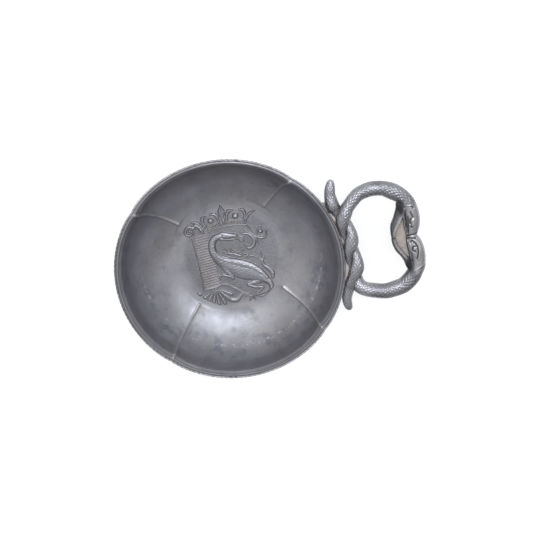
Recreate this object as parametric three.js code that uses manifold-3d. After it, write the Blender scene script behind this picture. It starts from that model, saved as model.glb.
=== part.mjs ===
// A cast pewter wine taster: a shallow round bowl with four pressed ridges, a cord round
// its rim, a relief roundel on its floor, and a handle of two entwined snakes whose open
// mouths meet. Millimetres, +Z up. The origin is the middle of the flat underside of the
// bowl, and the handle points along +X.

import * as THREE from 'three';
import { mergeVertices } from 'three/addons/utils/BufferGeometryUtils.js';
import Module from 'manifold-3d';

// Bowl
const RIM_DIAMETER = 95;
const BOWL_HEIGHT = 24.4;
const FLOOR_THICKNESS = 2.2;
const FLOOR_RADIUS = 21;
const BASE_RADIUS = 20;
const WALL_REACH = 0.943; // share of the quarter ellipse that the wall uses: 0.943 ends it at 71 degrees
const LEDGE_WIDTH = 0.7; // the ledge under the rim cord
const LIP_WIDTH = 0.75; // the flat lip inside the rim cord
const CORD_DIAMETER = 0.9;

// Pressed ridges
const RIDGE_COUNT = 4;
const RIDGE_HEIGHT = 1.1;
const RIDGE_DENT = 0.4; // how far the outer face follows each ridge inward
const RIDGE_FALLOFF = 3; // arc length over which a ridge fades to a third of its height
const RIDGE_START_RADIUS = 25.2;
const RIDGE_RAMP = 1.2; // radial length of the blunt inner end of a ridge
const DENT_RAMP = 10; // radial length over which the dent of the outer face comes up

// Roundel
const ROUNDEL_RADIUS = 23.3;
const ROUNDEL_THICKNESS = 0.9;
const ROUNDEL_EDGE = 0.2;
const HIGH_RELIEF = 1.05; // how far the animal and the crown's balls stand above the ground
const MIDDLE_RELIEF = 0.8; // leaves, shell and limbs
const LOW_RELIEF = 0.45; // bands, lines and flutes
const RELIEF_MARGIN = 0.35; // plain edge of the roundel
const RELIEF_ROOT = 0.3; // metal left under the sunk half of the relief
const FLUTE_COUNT = 14;
const FLUTE_HALF_WIDTH = 0.6;
const TOP_FLUTE = { left: -13.4, right: -8.2, y: 10.9 };
const BOTTOM_FLUTE = { left: -13.8, right: -8.7, y: -11.9 };
const SHELL_RIBS = 7;
const SHELL_RIB_HALF_WIDTH = 0.95;
const SHELL_ROOT = { x: -9.7, y: -12.6 };
const SHELL_RADIUS = 7.4;
const SHELL_START_ANGLE = THREE.MathUtils.degToRad(214);
const SHELL_END_ANGLE = THREE.MathUtils.degToRad(320);

// Handle seat
const SOLDER_THICKNESS = 0.3;
const SOLDER_MARGIN = 0.4; // how far the solder shows round the saddle
const SADDLE_FACE = 1.2; // from the axis of the twist in to the flat face of the saddle
const SADDLE_OVERHANG = 2; // how far the saddle runs past each end of the twist
const SADDLE_HEIGHT = 8.2;
const SADDLE_DROP = 6.5; // from the rim plane down to the middle of the saddle
const SADDLE_SHIFT = -1; // the saddle's middle lies this far to the side of the handle's axis

// Snakes
const HANDLE_DROP = 3.4; // from the rim plane down to the plane of the handle
const KNOT_STANDOFF = 2.8; // from the rim to the axis of the twist
const KNOT_PITCH = 23; // length of one full turn of the twist
const KNOT_OFFSET = 1.1; // from the axis of the twist to the middle of a strand
const KNOT_TOP = 12.4; // where the upper snake crosses over on its way out
const KNOT_HALF_LENGTH = 18;
const KNOT_FLARE_START = 11; // the strands part beyond this distance from the middle
const UPPER_FLARE = 2.75; // how much further apart they are at the upper end
const LOWER_FLARE = 1.9;
const LOWER_LEAN = 2.3; // how far the twist leans to the bowl at its lower end
const STRAND_RADIUS = 2.85;
const UPPER_LOOP_RADIUS = 13.6;
const LOWER_LOOP_RADIUS = 14.3;
const UPPER_BODY_RADIUS = 3;
const LOWER_BODY_RADIUS = 3.2;
const UPPER_NECK_RADIUS = 2.5;
const LOWER_NECK_RADIUS = 2.7;
const TAIL_LENGTH = 9.6;
const TAIL_RADIUS = 2.4;
const TAIL_TIP_RADIUS = 1.2;
const TAIL_SWAY = 0.8; // how far a tail bows towards the bowl
const MOUTH_REACH = 29.3; // from the rim to the line on which the skulls lie
const MOUTH_SHIFT = -1; // where the two mouths meet, measured from the handle's axis
const SKULL_LENGTH = 11;
const SKULL_HALF_WIDTH = 3.1;
const SKULL_HALF_HEIGHT = 2.6;
const SKULL_BOW = 0.4; // how far a skull bows away from the finger hole
const SKULL_BACK = 0.78; // where the skull is full, as a share of its length from the mouth line
const SKULL_CHEEK = 0.45;
const SKULL_NOSE = 0.18;
const NECK_OVERLAP = 1.6; // how far behind the skull the neck's last key lies
const NECK_INSET = 0.9;
const SNOUT_HALF_WIDTH = 2.1;
const SNOUT_INSET = 1;
const JAW_GAPE = 8.4; // from the line of the skulls to the tip of a jaw
const THROAT_SHARE = 0.3; // where the jaw starts, as a share of the gape
const JAW_ROOT_HALF_WIDTH = 1.9;
const JAW_TIP_HALF_WIDTH = 0.8;
const JAW_HALF_HEIGHT = 1.9;
const EYE_RADIUS = 0.85;
const EYE_PLACE = 0.53; // as a share of the skull's length from the mouth line
const WEB_THICKNESS = 2.4;

// Fit
const CLEARANCE = 0.15; // gap between pieces that are cast or soldered together

// Facets
const BOWL_SEGMENTS = 72;
const SEGMENT_CROWDING = 0.7; // draws the columns of facets together at the ridges
const WALL_STEPS = 10;
const CORD_SIDES = 8;
const BODY_SIDES = 12;
const JAW_SIDES = 8;
const RELIEF_SIDES = 6;
const SEAT_SEGMENTS = 12;
const RINGS_PER_KEY = 2;
const STRAND_KEYS = 12;
const LOOP_KEYS = 5;
const TAIL_KEYS = 4;
const BALL_COLUMNS = 8;
const BALL_ROWS = 6;
const TWIST_STEPS = 44;
const TWIST_COLUMNS = 8;
const WELD_TOLERANCE = 1e-4;

const rimRadius = RIM_DIAMETER / 2;
const cordRadius = CORD_DIAMETER / 2;
const cordLineRadius = rimRadius - cordRadius;
const lipOuterRadius = cordLineRadius - cordRadius - CLEARANCE;
const lipInnerRadius = lipOuterRadius - LIP_WIDTH;
const ledgeHeight = BOWL_HEIGHT - CORD_DIAMETER - CLEARANCE;
const ledgeRadius = lipOuterRadius + LEDGE_WIDTH;
const recessRadius = ROUNDEL_RADIUS + CLEARANCE;
const recessHeight = FLOOR_THICKNESS - ROUNDEL_THICKNESS - CLEARANCE;
const handleHeight = BOWL_HEIGHT - HANDLE_DROP;
const knotX = rimRadius + KNOT_STANDOFF;
const mouthX = rimRadius + MOUTH_REACH;
const mouthY = MOUTH_SHIFT;
const saddleLength = 2 * (KNOT_HALF_LENGTH + SADDLE_OVERHANG);

const PEWTER = { color: 0x9b9aa0, roughness: 0.42, metalness: 0.9 };
const BRIGHT_PEWTER = { color: 0xaeadb2, roughness: 0.38, metalness: 0.9 };
const SOLDER = { color: 0xb6aba3, roughness: 0.6, metalness: 0.6 };

const wasm = await Module();
wasm.setup();

// Solids and meshes

function signedVolume(geometry) {
  const position = geometry.attributes.position;
  const index = geometry.index.array;
  const a = new THREE.Vector3();
  const b = new THREE.Vector3();
  const c = new THREE.Vector3();
  let volume = 0;
  for (let corner = 0; corner < index.length; corner += 3) {
    a.fromBufferAttribute(position, index[corner]);
    b.fromBufferAttribute(position, index[corner + 1]);
    c.fromBufferAttribute(position, index[corner + 2]);
    volume += a.dot(b.cross(c)) / 6;
  }
  return volume;
}

// Joins equal corners, drops the triangles that this closes up, and turns all faces outward.
function weld(source) {
  const bare = source.clone();
  bare.deleteAttribute('normal');
  bare.deleteAttribute('uv');
  const merged = mergeVertices(bare, WELD_TOLERANCE);
  const index = merged.index.array;
  const triangles = [];
  for (let corner = 0; corner < index.length; corner += 3) {
    const triangle = [index[corner], index[corner + 1], index[corner + 2]];
    if (new Set(triangle).size === 3) {
      triangles.push(triangle);
    }
  }
  merged.setIndex(triangles.flat());
  if (signedVolume(merged) < 0) {
    merged.setIndex(triangles.map((triangle) => triangle.reverse()).flat());
  }
  return merged;
}

function solidOf(geometry) {
  const welded = weld(geometry);
  const mesh = new wasm.Mesh({
    numProp: 3,
    vertProperties: new Float32Array(welded.attributes.position.array),
    triVerts: new Uint32Array(welded.index.array),
  });
  return new wasm.Manifold(mesh);
}

function geometryOf(solid) {
  const mesh = solid.getMesh();
  const geometry = new THREE.BufferGeometry();
  geometry.setAttribute('position', new THREE.BufferAttribute(mesh.vertProperties, 3));
  geometry.setIndex(new THREE.BufferAttribute(mesh.triVerts, 1));
  return geometry;
}

function piece(name, geometry, look) {
  geometry.computeVertexNormals();
  const mesh = new THREE.Mesh(geometry, new THREE.MeshStandardMaterial(look));
  mesh.name = name;
  return mesh;
}

// Turned shapes. All of them share their columns of facets, so neighbours stay parallel.

function columnAngle(column) {
  const even = (column / BOWL_SEGMENTS - 0.25) * 2 * Math.PI;
  const fromRidge = even - Math.PI / RIDGE_COUNT;
  return even - (SEGMENT_CROWDING / RIDGE_COUNT) * Math.sin(RIDGE_COUNT * fromRidge);
}

// How much of a ridge is left at this place: 1 on its crest, fading with the distance round the wall.
function ridgeShare(radius, angle) {
  const spacing = (2 * Math.PI) / RIDGE_COUNT;
  const turns = angle / spacing - 0.5;
  const fromRidge = Math.abs(turns - Math.round(turns)) * spacing;
  return Math.exp((-radius * fromRidge) / RIDGE_FALLOFF);
}

// Turns a section about the Z axis. The second section is the one along the crest of a ridge.
function turn(plain, crest = plain) {
  const geometry = new THREE.LatheGeometry(plain, BOWL_SEGMENTS);
  const position = geometry.attributes.position;
  for (let vertex = 0; vertex < position.count; vertex += 1) {
    const angle = columnAngle(Math.floor(vertex / plain.length));
    const row = vertex % plain.length;
    const point = plain[row].clone().lerp(crest[row], ridgeShare(plain[row].x, angle));
    position.setXYZ(vertex, point.x * Math.cos(angle), point.x * Math.sin(angle), point.y);
  }
  return geometry;
}

// Bowl

// A quarter ellipse that leaves the floor level and climbs to the rim.
function wallCurve(floorRadius, floorHeight, topRadius, topHeight) {
  const halfWidth = (topRadius - floorRadius) / WALL_REACH;
  const halfHeight = (topHeight - floorHeight) / (1 - Math.sqrt(1 - WALL_REACH ** 2));
  return {
    endAngle: Math.asin(WALL_REACH),
    point: (angle) => new THREE.Vector2(
      floorRadius + halfWidth * Math.sin(angle),
      floorHeight + halfHeight * (1 - Math.cos(angle)),
    ),
    // the unit normal on the outer side
    normal: (angle) => new THREE.Vector2(
      halfHeight * Math.sin(angle),
      -halfWidth * Math.cos(angle),
    ).normalize(),
    angleAtRadius: (radius) => Math.asin((radius - floorRadius) / halfWidth),
    angleAtHeight: (height) => Math.acos(1 - (height - floorHeight) / halfHeight),
  };
}

const innerWall = wallCurve(FLOOR_RADIUS, FLOOR_THICKNESS, lipInnerRadius, BOWL_HEIGHT);
const outerWall = wallCurve(BASE_RADIUS, 0, ledgeRadius, ledgeHeight);

// Points along a wall, set off from it on its outer side.
function wallPoints(wall, fromAngle, toAngle, distance = 0) {
  const points = [];
  for (let step = 0; step <= WALL_STEPS; step += 1) {
    const angle = THREE.MathUtils.lerp(fromAngle, toAngle, step / WALL_STEPS);
    points.push(wall.point(angle).addScaledVector(wall.normal(angle), distance));
  }
  return points;
}

// The section of the bowl, pressed inward by a share of the full ridge.
function bowlSection(pressed) {
  const inside = [];
  const firstAngle = innerWall.angleAtRadius(recessRadius);
  const startAngle = innerWall.angleAtRadius(Math.max(RIDGE_START_RADIUS, recessRadius + RIDGE_RAMP));
  const angles = [firstAngle, startAngle];
  for (let step = 0; step <= WALL_STEPS; step += 1) {
    const rampAngle = innerWall.angleAtRadius(innerWall.point(startAngle).x + RIDGE_RAMP);
    angles.push(THREE.MathUtils.lerp(rampAngle, innerWall.endAngle, step / WALL_STEPS));
  }
  angles.forEach((angle, place) => {
    const height = place < 2 ? 0 : RIDGE_HEIGHT * pressed;
    const point = innerWall.point(angle);
    const inward = innerWall.normal(angle).multiplyScalar(-height);
    // the rim stays level, so the upward part of the press fades towards it
    const fade = 1 - THREE.MathUtils.smoothstep(point.y, BOWL_HEIGHT / 2, BOWL_HEIGHT);
    inside.push(new THREE.Vector2(point.x + inward.x, point.y + inward.y * fade));
  });
  const dent = RIDGE_DENT * pressed;
  const outside = [];
  wallPoints(outerWall, outerWall.endAngle, 0).forEach((point) => {
    const share = THREE.MathUtils.smoothstep(point.x, RIDGE_START_RADIUS, RIDGE_START_RADIUS + DENT_RAMP);
    outside.push(new THREE.Vector2(point.x - dent * share, point.y));
  });
  return [
    new THREE.Vector2(0, recessHeight),
    new THREE.Vector2(recessRadius, recessHeight),
    ...inside,
    new THREE.Vector2(lipOuterRadius - dent, BOWL_HEIGHT),
    new THREE.Vector2(lipOuterRadius - dent, ledgeHeight),
    ...outside,
    new THREE.Vector2(0, 0),
  ];
}

function makeBowl() {
  return turn(bowlSection(0), bowlSection(1));
}

// The cord lies on the ledge outside the lip and follows the dents of the rim.
function makeRimCord() {
  const section = (dent) => {
    const points = [];
    for (let side = 0; side <= CORD_SIDES; side += 1) {
      const angle = (side / CORD_SIDES) * 2 * Math.PI;
      const x = cordLineRadius - dent + cordRadius * Math.cos(angle);
      points.push(new THREE.Vector2(x, BOWL_HEIGHT - cordRadius + cordRadius * Math.sin(angle)));
    }
    return points;
  };
  return turn(section(0), section(RIDGE_DENT));
}

// Relief on the roundel. A row of a stroke is its place from the middle of the roundel and its half
// width there; X points to the handle and Y to the crown.

const ANIMAL = [
  [[-3, 9.4, 1.4], [-6.7, 7.4, 1.5], [-7, 2.8, 1.8], [-4.4, -1.6, 2.6], [1.4, -5.9, 4],
    [7.4, -9.5, 3.8], [12, -13.4, 2], [13.6, -16.9, 1.1], [11.4, -19.9, 0.9], [7.2, -20.2, 0.5]],
  [[-3.6, 9.5, 1.2], [-0.6, 9.4, 1.6], [3.9, 8.3, 0.7]],
];
const LIMBS = [
  [[-4.4, -4.2, 1.2], [-2.9, -7, 1.1], [-1.6, -10, 0.7]],
  [[-1.6, -9.7, 0.7], [-4.2, -8.3, 0.7], [-6.9, -7.9, 0.4]],
  [[10, -13.4, 1.5], [6.6, -13.7, 1.1], [4.3, -14.5, 0.7]],
  [[4.4, -14.6, 0.7], [7.2, -16, 0.75], [10, -17, 0.7]],
  [[10, -16.9, 0.7], [7.8, -18.3, 0.6], [3.4, -20.2, 0.4]],
  [[15.2, -13.6, 0.7], [14.8, -9.4, 1.1], [12.5, -6, 0.7], [12.7, -1.8, 0.3]],
];
const LEAVES = [
  [[0.1, 15.2, 0.8], [0.2, 19.4, 1.5], [0.4, 22.4, 0.3]],
  [[-1.7, 15.6, 0.6], [-2, 18, 0.7], [-4.4, 19.7, 0.5]],
  [[1.9, 15.7, 0.6], [2.2, 18, 0.7], [4.7, 19.6, 0.5]],
  [[-7.6, 14.8, 0.6], [-8.7, 17.4, 0.7], [-7.1, 19.2, 0.4]],
  [[9, 14.8, 0.6], [9.8, 17.4, 0.7], [7.9, 19.2, 0.4]],
  [[-8.6, 13, 0.6], [-10.4, 16.6, 0.8], [-13, 18, 0.3]],
  [[8.9, 12.9, 0.5], [11.2, 16.3, 0.7], [14, 17.3, 0.3]],
  [[6.8, 8.6, 0.5], [10.6, 6.2, 0.8], [10, 2.4, 0.8], [7.2, 2.4, 0.5]],
  [[10, 11, 0.4], [11.6, 6.9, 0.6], [14.6, 4.9, 0.6], [16.8, 7.4, 0.4]],
  [[-13.4, 15.8, 0.6], [-16.6, 15.6, 0.6], [-16.9, 12.6, 0.6], [-14.2, 12.4, 0.5]],
  [[-5.9, -16.8, 0.6], [-4.2, -20, 1], [0.3, -18.2, 0.6]],
];
const BANDS = [
  [[-8.6, 12.1, 0.4], [0.4, 13.3, 0.4], [9.4, 12, 0.4]],
  [[-7.8, 14.3, 0.4], [0.4, 15.2, 0.4], [8.8, 14.2, 0.4]],
  [[-14.4, 10.6, 0.4], [-14.3, -1, 0.4], [-15, -13.4, 0.4]],
  [[-14.7, -13.1, 0.4], [-11.5, -12.6, 0.4], [-8.6, -12.6, 0.4]],
];
const BALLS = [
  [-5, 16.9, 1.2], [5.6, 16.8, 1.3], // on the crown
  [-14.9, 13.9, 0.8], [14.5, 8, 1], [-17.2, -14.1, 1.1], // in the scrolls
];

// A raised stroke: a bent rod whose lower half is sunk in the ground.
function stroke(rows, height) {
  const keys = rows.map(([x, y, halfWidth]) => key(x, y, FLOOR_THICKNESS, halfWidth, height));
  return bendRod(keys, RELIEF_SIDES, 0);
}

// The band of short flutes that stands beside the animal.
function fluteRows() {
  const flutes = [];
  for (let flute = 0; flute < FLUTE_COUNT; flute += 1) {
    const between = (name) => (
      THREE.MathUtils.lerp(TOP_FLUTE[name], BOTTOM_FLUTE[name], flute / (FLUTE_COUNT - 1))
    );
    flutes.push([
      [between('left'), between('y'), FLUTE_HALF_WIDTH],
      [between('right'), between('y'), FLUTE_HALF_WIDTH],
    ]);
  }
  return flutes;
}

// The ribs of the shell at the foot of that band, spread like a fan.
function shellRows() {
  const ribs = [];
  for (let rib = 0; rib < SHELL_RIBS; rib += 1) {
    const angle = THREE.MathUtils.lerp(SHELL_START_ANGLE, SHELL_END_ANGLE, rib / (SHELL_RIBS - 1));
    const at = (radius, halfWidth) => [
      SHELL_ROOT.x + radius * Math.cos(angle),
      SHELL_ROOT.y + radius * Math.sin(angle),
      halfWidth,
    ];
    ribs.push([at(SHELL_RADIUS / 4, SHELL_RIB_HALF_WIDTH / 3), at(SHELL_RADIUS, SHELL_RIB_HALF_WIDTH)]);
  }
  return ribs;
}

function ball([x, y, radius]) {
  const sphere = new THREE.SphereGeometry(radius, BALL_COLUMNS, BALL_ROWS);
  sphere.rotateX(Math.PI / 2);
  sphere.scale(1, 1, HIGH_RELIEF / radius);
  sphere.translate(x, y, FLOOR_THICKNESS);
  return solidOf(sphere);
}

// The disc is level up to the floor's edge and then follows the foot of the wall.
function makeRoundel() {
  const bottom = recessHeight + CLEARANCE;
  const edge = innerWall.point(innerWall.angleAtRadius(ROUNDEL_RADIUS)).y;
  const disc = solidOf(turn([
    new THREE.Vector2(0, bottom),
    new THREE.Vector2(ROUNDEL_RADIUS, bottom),
    new THREE.Vector2(ROUNDEL_RADIUS, edge - ROUNDEL_EDGE),
    new THREE.Vector2(ROUNDEL_RADIUS - ROUNDEL_EDGE, edge),
    new THREE.Vector2(FLOOR_RADIUS, FLOOR_THICKNESS),
    new THREE.Vector2(0, FLOOR_THICKNESS),
  ]));
  const room = new THREE.CylinderGeometry(1, 1, 1, BOWL_SEGMENTS);
  room.rotateX(Math.PI / 2);
  room.scale(ROUNDEL_RADIUS - RELIEF_MARGIN, ROUNDEL_RADIUS - RELIEF_MARGIN, 2 * HIGH_RELIEF);
  room.translate(0, 0, bottom + RELIEF_ROOT + HIGH_RELIEF);
  const strokes = [
    ...ANIMAL.map((rows) => stroke(rows, HIGH_RELIEF)),
    ...[...LIMBS, ...LEAVES, ...shellRows()].map((rows) => stroke(rows, MIDDLE_RELIEF)),
    ...[...BANDS, ...fluteRows()].map((rows) => stroke(rows, LOW_RELIEF)),
    ...BALLS.map(ball),
  ];
  const relief = strokes.reduce((sum, each) => sum.add(each));
  return geometryOf(disc.add(relief.intersect(solidOf(room))));
}

// Handle seat

// A turned band that hugs the outer wall between two distances from it.
function wallBand(nearSide, farSide) {
  const lowAngle = outerWall.angleAtHeight(BOWL_HEIGHT - SADDLE_DROP - SADDLE_HEIGHT);
  const near = wallPoints(outerWall, lowAngle, outerWall.endAngle, nearSide);
  const far = wallPoints(outerWall, outerWall.endAngle, lowAngle, farSide);
  return turn([...near, ...far, near[0].clone()]);
}

// The oval part of such a band where the handle sits, made larger all round by a margin.
function seatSolid(nearSide, farSide, margin) {
  const outline = new THREE.Shape();
  outline.absellipse(0, 0, saddleLength / 2 + margin, SADDLE_HEIGHT / 2 + margin, 0, 2 * Math.PI, false, 0);
  const block = new THREE.ExtrudeGeometry(outline, {
    depth: rimRadius,
    bevelEnabled: false,
    curveSegments: SEAT_SEGMENTS,
  });
  block.rotateX(Math.PI / 2).rotateZ(Math.PI / 2);
  block.translate(rimRadius / 2, SADDLE_SHIFT, BOWL_HEIGHT - SADDLE_DROP);
  return solidOf(wallBand(nearSide, farSide)).intersect(solidOf(block));
}

const solderFar = CLEARANCE + SOLDER_THICKNESS;
const saddleNear = solderFar + CLEARANCE;

function makeSolderBed() {
  return geometryOf(seatSolid(CLEARANCE, solderFar, SOLDER_MARGIN));
}

// The saddle fills the room between the round wall and a flat face, and the snakes lie bedded in it.
function makeSaddle() {
  const beyond = new THREE.BoxGeometry(rimRadius, RIM_DIAMETER, RIM_DIAMETER);
  beyond.translate(knotX - SADDLE_FACE + rimRadius / 2, 0, 0);
  return geometryOf(seatSolid(saddleNear, rimRadius / 2, 0)
    .subtract(solidOf(beyond))
    .subtract(rawSnake(UPPER, CLEARANCE))
    .subtract(rawSnake(LOWER, CLEARANCE)));
}

// Snakes

// A place on a snake: where its middle is, and half its width and height there.
function key(x, y, z, halfWidth, halfHeight = halfWidth) {
  return { middle: new THREE.Vector3(x, y, z), girth: new THREE.Vector3(halfWidth, halfHeight, 0) };
}

// A rod with an oval section that changes from key to key, bent along the keys.
function bendRod(keys, sides, grow) {
  const line = new THREE.CatmullRomCurve3(keys.map((each) => each.middle));
  const girths = new THREE.CatmullRomCurve3(keys.map((each) => each.girth), false, 'catmullrom', 0.5);
  const rings = (keys.length - 1) * RINGS_PER_KEY;
  const geometry = new THREE.CylinderGeometry(1, 1, 1, sides, rings);
  const position = geometry.attributes.position;
  const up = new THREE.Vector3(0, 0, 1);
  const unit = new THREE.Vector3();
  for (let vertex = 0; vertex < position.count; vertex += 1) {
    unit.fromBufferAttribute(position, vertex);
    const along = THREE.MathUtils.clamp(unit.y + 0.5, 0, 1);
    const tangent = line.getTangent(along);
    const side = new THREE.Vector3().crossVectors(tangent, up).normalize();
    const over = new THREE.Vector3().crossVectors(side, tangent);
    const girth = girths.getPoint(along);
    const point = line.getPoint(along);
    point.addScaledVector(side, unit.x * (girth.x + grow));
    point.addScaledVector(over, unit.z * (girth.y + grow));
    position.setXYZ(vertex, point.x, point.y, point.z);
  }
  return solidOf(geometry);
}

// The angle of the upper snake about the axis of the twist: 0 is away from the bowl, 90 degrees is on top.
function twistAngle(y) {
  return Math.PI / 2 + ((KNOT_TOP - y) / KNOT_PITCH) * 2 * Math.PI;
}

// The middle between the strands, and from there to the upper snake, at a place along the twist.
function knotFrame(y) {
  const beyond = Math.max(0, Math.abs(y) - KNOT_FLARE_START) / (KNOT_HALF_LENGTH - KNOT_FLARE_START);
  const flare = (y > 0 ? UPPER_FLARE : LOWER_FLARE) * beyond ** 2;
  const lean = y > 0 ? 0 : LOWER_LEAN * beyond;
  const angle = twistAngle(y);
  return {
    middle: new THREE.Vector3(knotX - lean, y, handleHeight),
    arm: new THREE.Vector3((KNOT_OFFSET + flare) * Math.cos(angle), 0, KNOT_OFFSET * Math.sin(angle)),
  };
}

// The keys of one strand from the lower end of the twist to the upper; side is 1 for the upper snake.
function strandKeys(side) {
  const keys = [];
  for (let step = 0; step <= STRAND_KEYS; step += 1) {
    const frame = knotFrame(THREE.MathUtils.lerp(-KNOT_HALF_LENGTH, KNOT_HALF_LENGTH, step / STRAND_KEYS));
    const middle = frame.middle.addScaledVector(frame.arm, side);
    keys.push(key(middle.x, middle.y, middle.z, STRAND_RADIUS));
  }
  return keys;
}

// The tail leaves the end of the twist and narrows to a blunt tip.
function tailKeys(root, direction) {
  const from = root.middle;
  const keys = [];
  for (let step = 1; step <= TAIL_KEYS; step += 1) {
    const share = step / TAIL_KEYS;
    keys.push(key(
      from.x - TAIL_SWAY * Math.sin(Math.PI * share),
      from.y + direction * TAIL_LENGTH * share,
      THREE.MathUtils.lerp(from.z, handleHeight, share),
      THREE.MathUtils.lerp(TAIL_RADIUS, TAIL_TIP_RADIUS, share ** 3),
    ));
  }
  return keys;
}

// The round stretch of the handle, from the twist towards the neck. Angles are seen from above.
function loopKeys(root, loopRadius, startAngle, endAngle, bodyRadius) {
  const centreX = root.middle.x - loopRadius * Math.cos(startAngle);
  const centreY = root.middle.y - loopRadius * Math.sin(startAngle);
  const keys = [];
  for (let step = 1; step <= LOOP_KEYS; step += 1) {
    const share = step / LOOP_KEYS;
    const angle = THREE.MathUtils.lerp(startAngle, endAngle, share);
    const radius = THREE.MathUtils.lerp(STRAND_RADIUS, bodyRadius, Math.min(1, 2 * share));
    keys.push(key(
      centreX + loopRadius * Math.cos(angle),
      centreY + loopRadius * Math.sin(angle),
      THREE.MathUtils.lerp(root.middle.z, handleHeight, Math.min(1, 2 * share)),
      radius,
    ));
  }
  return keys;
}

// Keys from the neck to the snout. direction is 1 for the snake above the mouth line, -1 below it.
function skullKeys(direction, neckRadius) {
  const at = (x, distance, halfWidth, halfHeight) => (
    key(mouthX + x, mouthY + direction * distance, handleHeight, halfWidth, halfHeight)
  );
  const noseHalfWidth = (SKULL_HALF_WIDTH + SNOUT_HALF_WIDTH) / 2;
  const noseHalfHeight = (SKULL_HALF_HEIGHT + SNOUT_HALF_WIDTH) / 2;
  return [
    at(-NECK_INSET, SKULL_LENGTH + NECK_OVERLAP, neckRadius),
    at(SKULL_BOW, SKULL_LENGTH * SKULL_BACK, SKULL_HALF_WIDTH, SKULL_HALF_HEIGHT),
    at(SKULL_BOW, SKULL_LENGTH * SKULL_CHEEK, SKULL_HALF_WIDTH, SKULL_HALF_HEIGHT),
    at(-SKULL_BOW, SKULL_LENGTH * SKULL_NOSE, noseHalfWidth, noseHalfHeight),
    at(-SNOUT_INSET, -CLEARANCE * 2, SNOUT_HALF_WIDTH, SNOUT_HALF_WIDTH),
  ];
}

// The lower jaw drops away from the skull towards the finger hole and meets the other at its tip.
function jawKeys(direction) {
  const at = (share, distance, halfWidth, halfHeight) => key(
    mouthX - JAW_GAPE * share,
    mouthY + direction * distance,
    handleHeight,
    halfWidth,
    halfHeight,
  );
  const middleHalfWidth = (JAW_ROOT_HALF_WIDTH + JAW_TIP_HALF_WIDTH) / 2;
  // the jaw opens along a quarter of a wave, steeply at the throat and level at the tip
  const gape = (share) => THREE.MathUtils.lerp(THROAT_SHARE, 1, Math.sin((Math.PI / 2) * share));
  return [
    at(gape(0), SKULL_LENGTH + NECK_OVERLAP, JAW_ROOT_HALF_WIDTH, JAW_HALF_HEIGHT),
    at(gape(1 / 4), SKULL_LENGTH * SKULL_BACK, JAW_ROOT_HALF_WIDTH, JAW_HALF_HEIGHT),
    at(gape(2 / 3), SKULL_LENGTH * SKULL_CHEEK, middleHalfWidth, JAW_HALF_HEIGHT),
    at(1, SKULL_LENGTH * SKULL_NOSE, JAW_TIP_HALF_WIDTH, JAW_HALF_HEIGHT),
    at(1, -CLEARANCE * 2, JAW_TIP_HALF_WIDTH, JAW_HALF_HEIGHT),
  ];
}

const UPPER = {
  side: 1,
  direction: 1,
  loopRadius: UPPER_LOOP_RADIUS,
  bodyRadius: UPPER_BODY_RADIUS,
  neckRadius: UPPER_NECK_RADIUS,
  startAngle: THREE.MathUtils.degToRad(130),
  endAngle: THREE.MathUtils.degToRad(35),
};
const LOWER = {
  side: -1,
  direction: -1,
  loopRadius: LOWER_LOOP_RADIUS,
  bodyRadius: LOWER_BODY_RADIUS,
  neckRadius: LOWER_NECK_RADIUS,
  startAngle: THREE.MathUtils.degToRad(218),
  endAngle: THREE.MathUtils.degToRad(323),
};

// The body of a snake from its tail through the twist and round the loop to its snout.
function bodyKeys(snake) {
  const strand = strandKeys(snake.side);
  if (snake.direction < 0) {
    strand.reverse();
  }
  const last = strand[strand.length - 1];
  return [
    ...tailKeys(strand[0], -snake.direction).reverse(),
    ...strand,
    ...loopKeys(last, snake.loopRadius, snake.startAngle, snake.endAngle, snake.bodyRadius),
    ...skullKeys(snake.direction, snake.neckRadius),
  ];
}

function eyeSolid(snake, face, grow) {
  const eye = new THREE.SphereGeometry(EYE_RADIUS + grow, BALL_COLUMNS, BALL_ROWS);
  const height = handleHeight + face * (SKULL_HALF_HEIGHT - EYE_RADIUS / 3);
  eye.translate(mouthX, mouthY + snake.direction * SKULL_LENGTH * EYE_PLACE, height);
  return solidOf(eye);
}

// The whole snake before anything is cut off it, made larger all round by grow.
function rawSnake(snake, grow) {
  return bendRod(bodyKeys(snake), BODY_SIDES, grow)
    .add(bendRod(jawKeys(snake.direction), JAW_SIDES, grow))
    .add(eyeSolid(snake, 1, grow))
    .add(eyeSolid(snake, -1, grow));
}

// Half of the space round the twist: all that lies beyond the turning plane between the strands,
// and half the clearance on this side of it. It runs on a little past both ends of the twist.
function twistedHalf(side) {
  const reach = 3 * STRAND_RADIUS;
  const halfWidth = STRAND_RADIUS + KNOT_OFFSET / 2;
  const bar = new THREE.BoxGeometry(1, 1, 1, 1, TWIST_STEPS, TWIST_COLUMNS);
  const position = bar.attributes.position;
  for (let vertex = 0; vertex < position.count; vertex += 1) {
    const away = (position.getX(vertex) + 0.5) * reach - CLEARANCE / 2;
    const across = position.getZ(vertex) * 2 * halfWidth;
    const frame = knotFrame(position.getY(vertex) * 2 * (KNOT_HALF_LENGTH + STRAND_RADIUS / 2));
    const outward = frame.arm.multiplyScalar(side).normalize();
    const point = frame.middle.addScaledVector(outward, away);
    position.setXYZ(vertex, point.x - outward.z * across, point.y, point.z + outward.x * across);
  }
  return solidOf(bar);
}

// The room taken by the bowl with its cord, and by the seat of the handle.
function bowlRoom() {
  const levels = wallPoints(outerWall, 0, outerWall.endAngle);
  const top = 2 * BOWL_HEIGHT;
  return solidOf(turn([
    new THREE.Vector2(0, 0),
    ...levels.map((point) => new THREE.Vector2(point.x + CLEARANCE, point.y)),
    new THREE.Vector2(rimRadius + CLEARANCE, ledgeHeight - CLEARANCE),
    new THREE.Vector2(rimRadius + CLEARANCE, top),
    new THREE.Vector2(0, top),
  ]));
}

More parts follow.
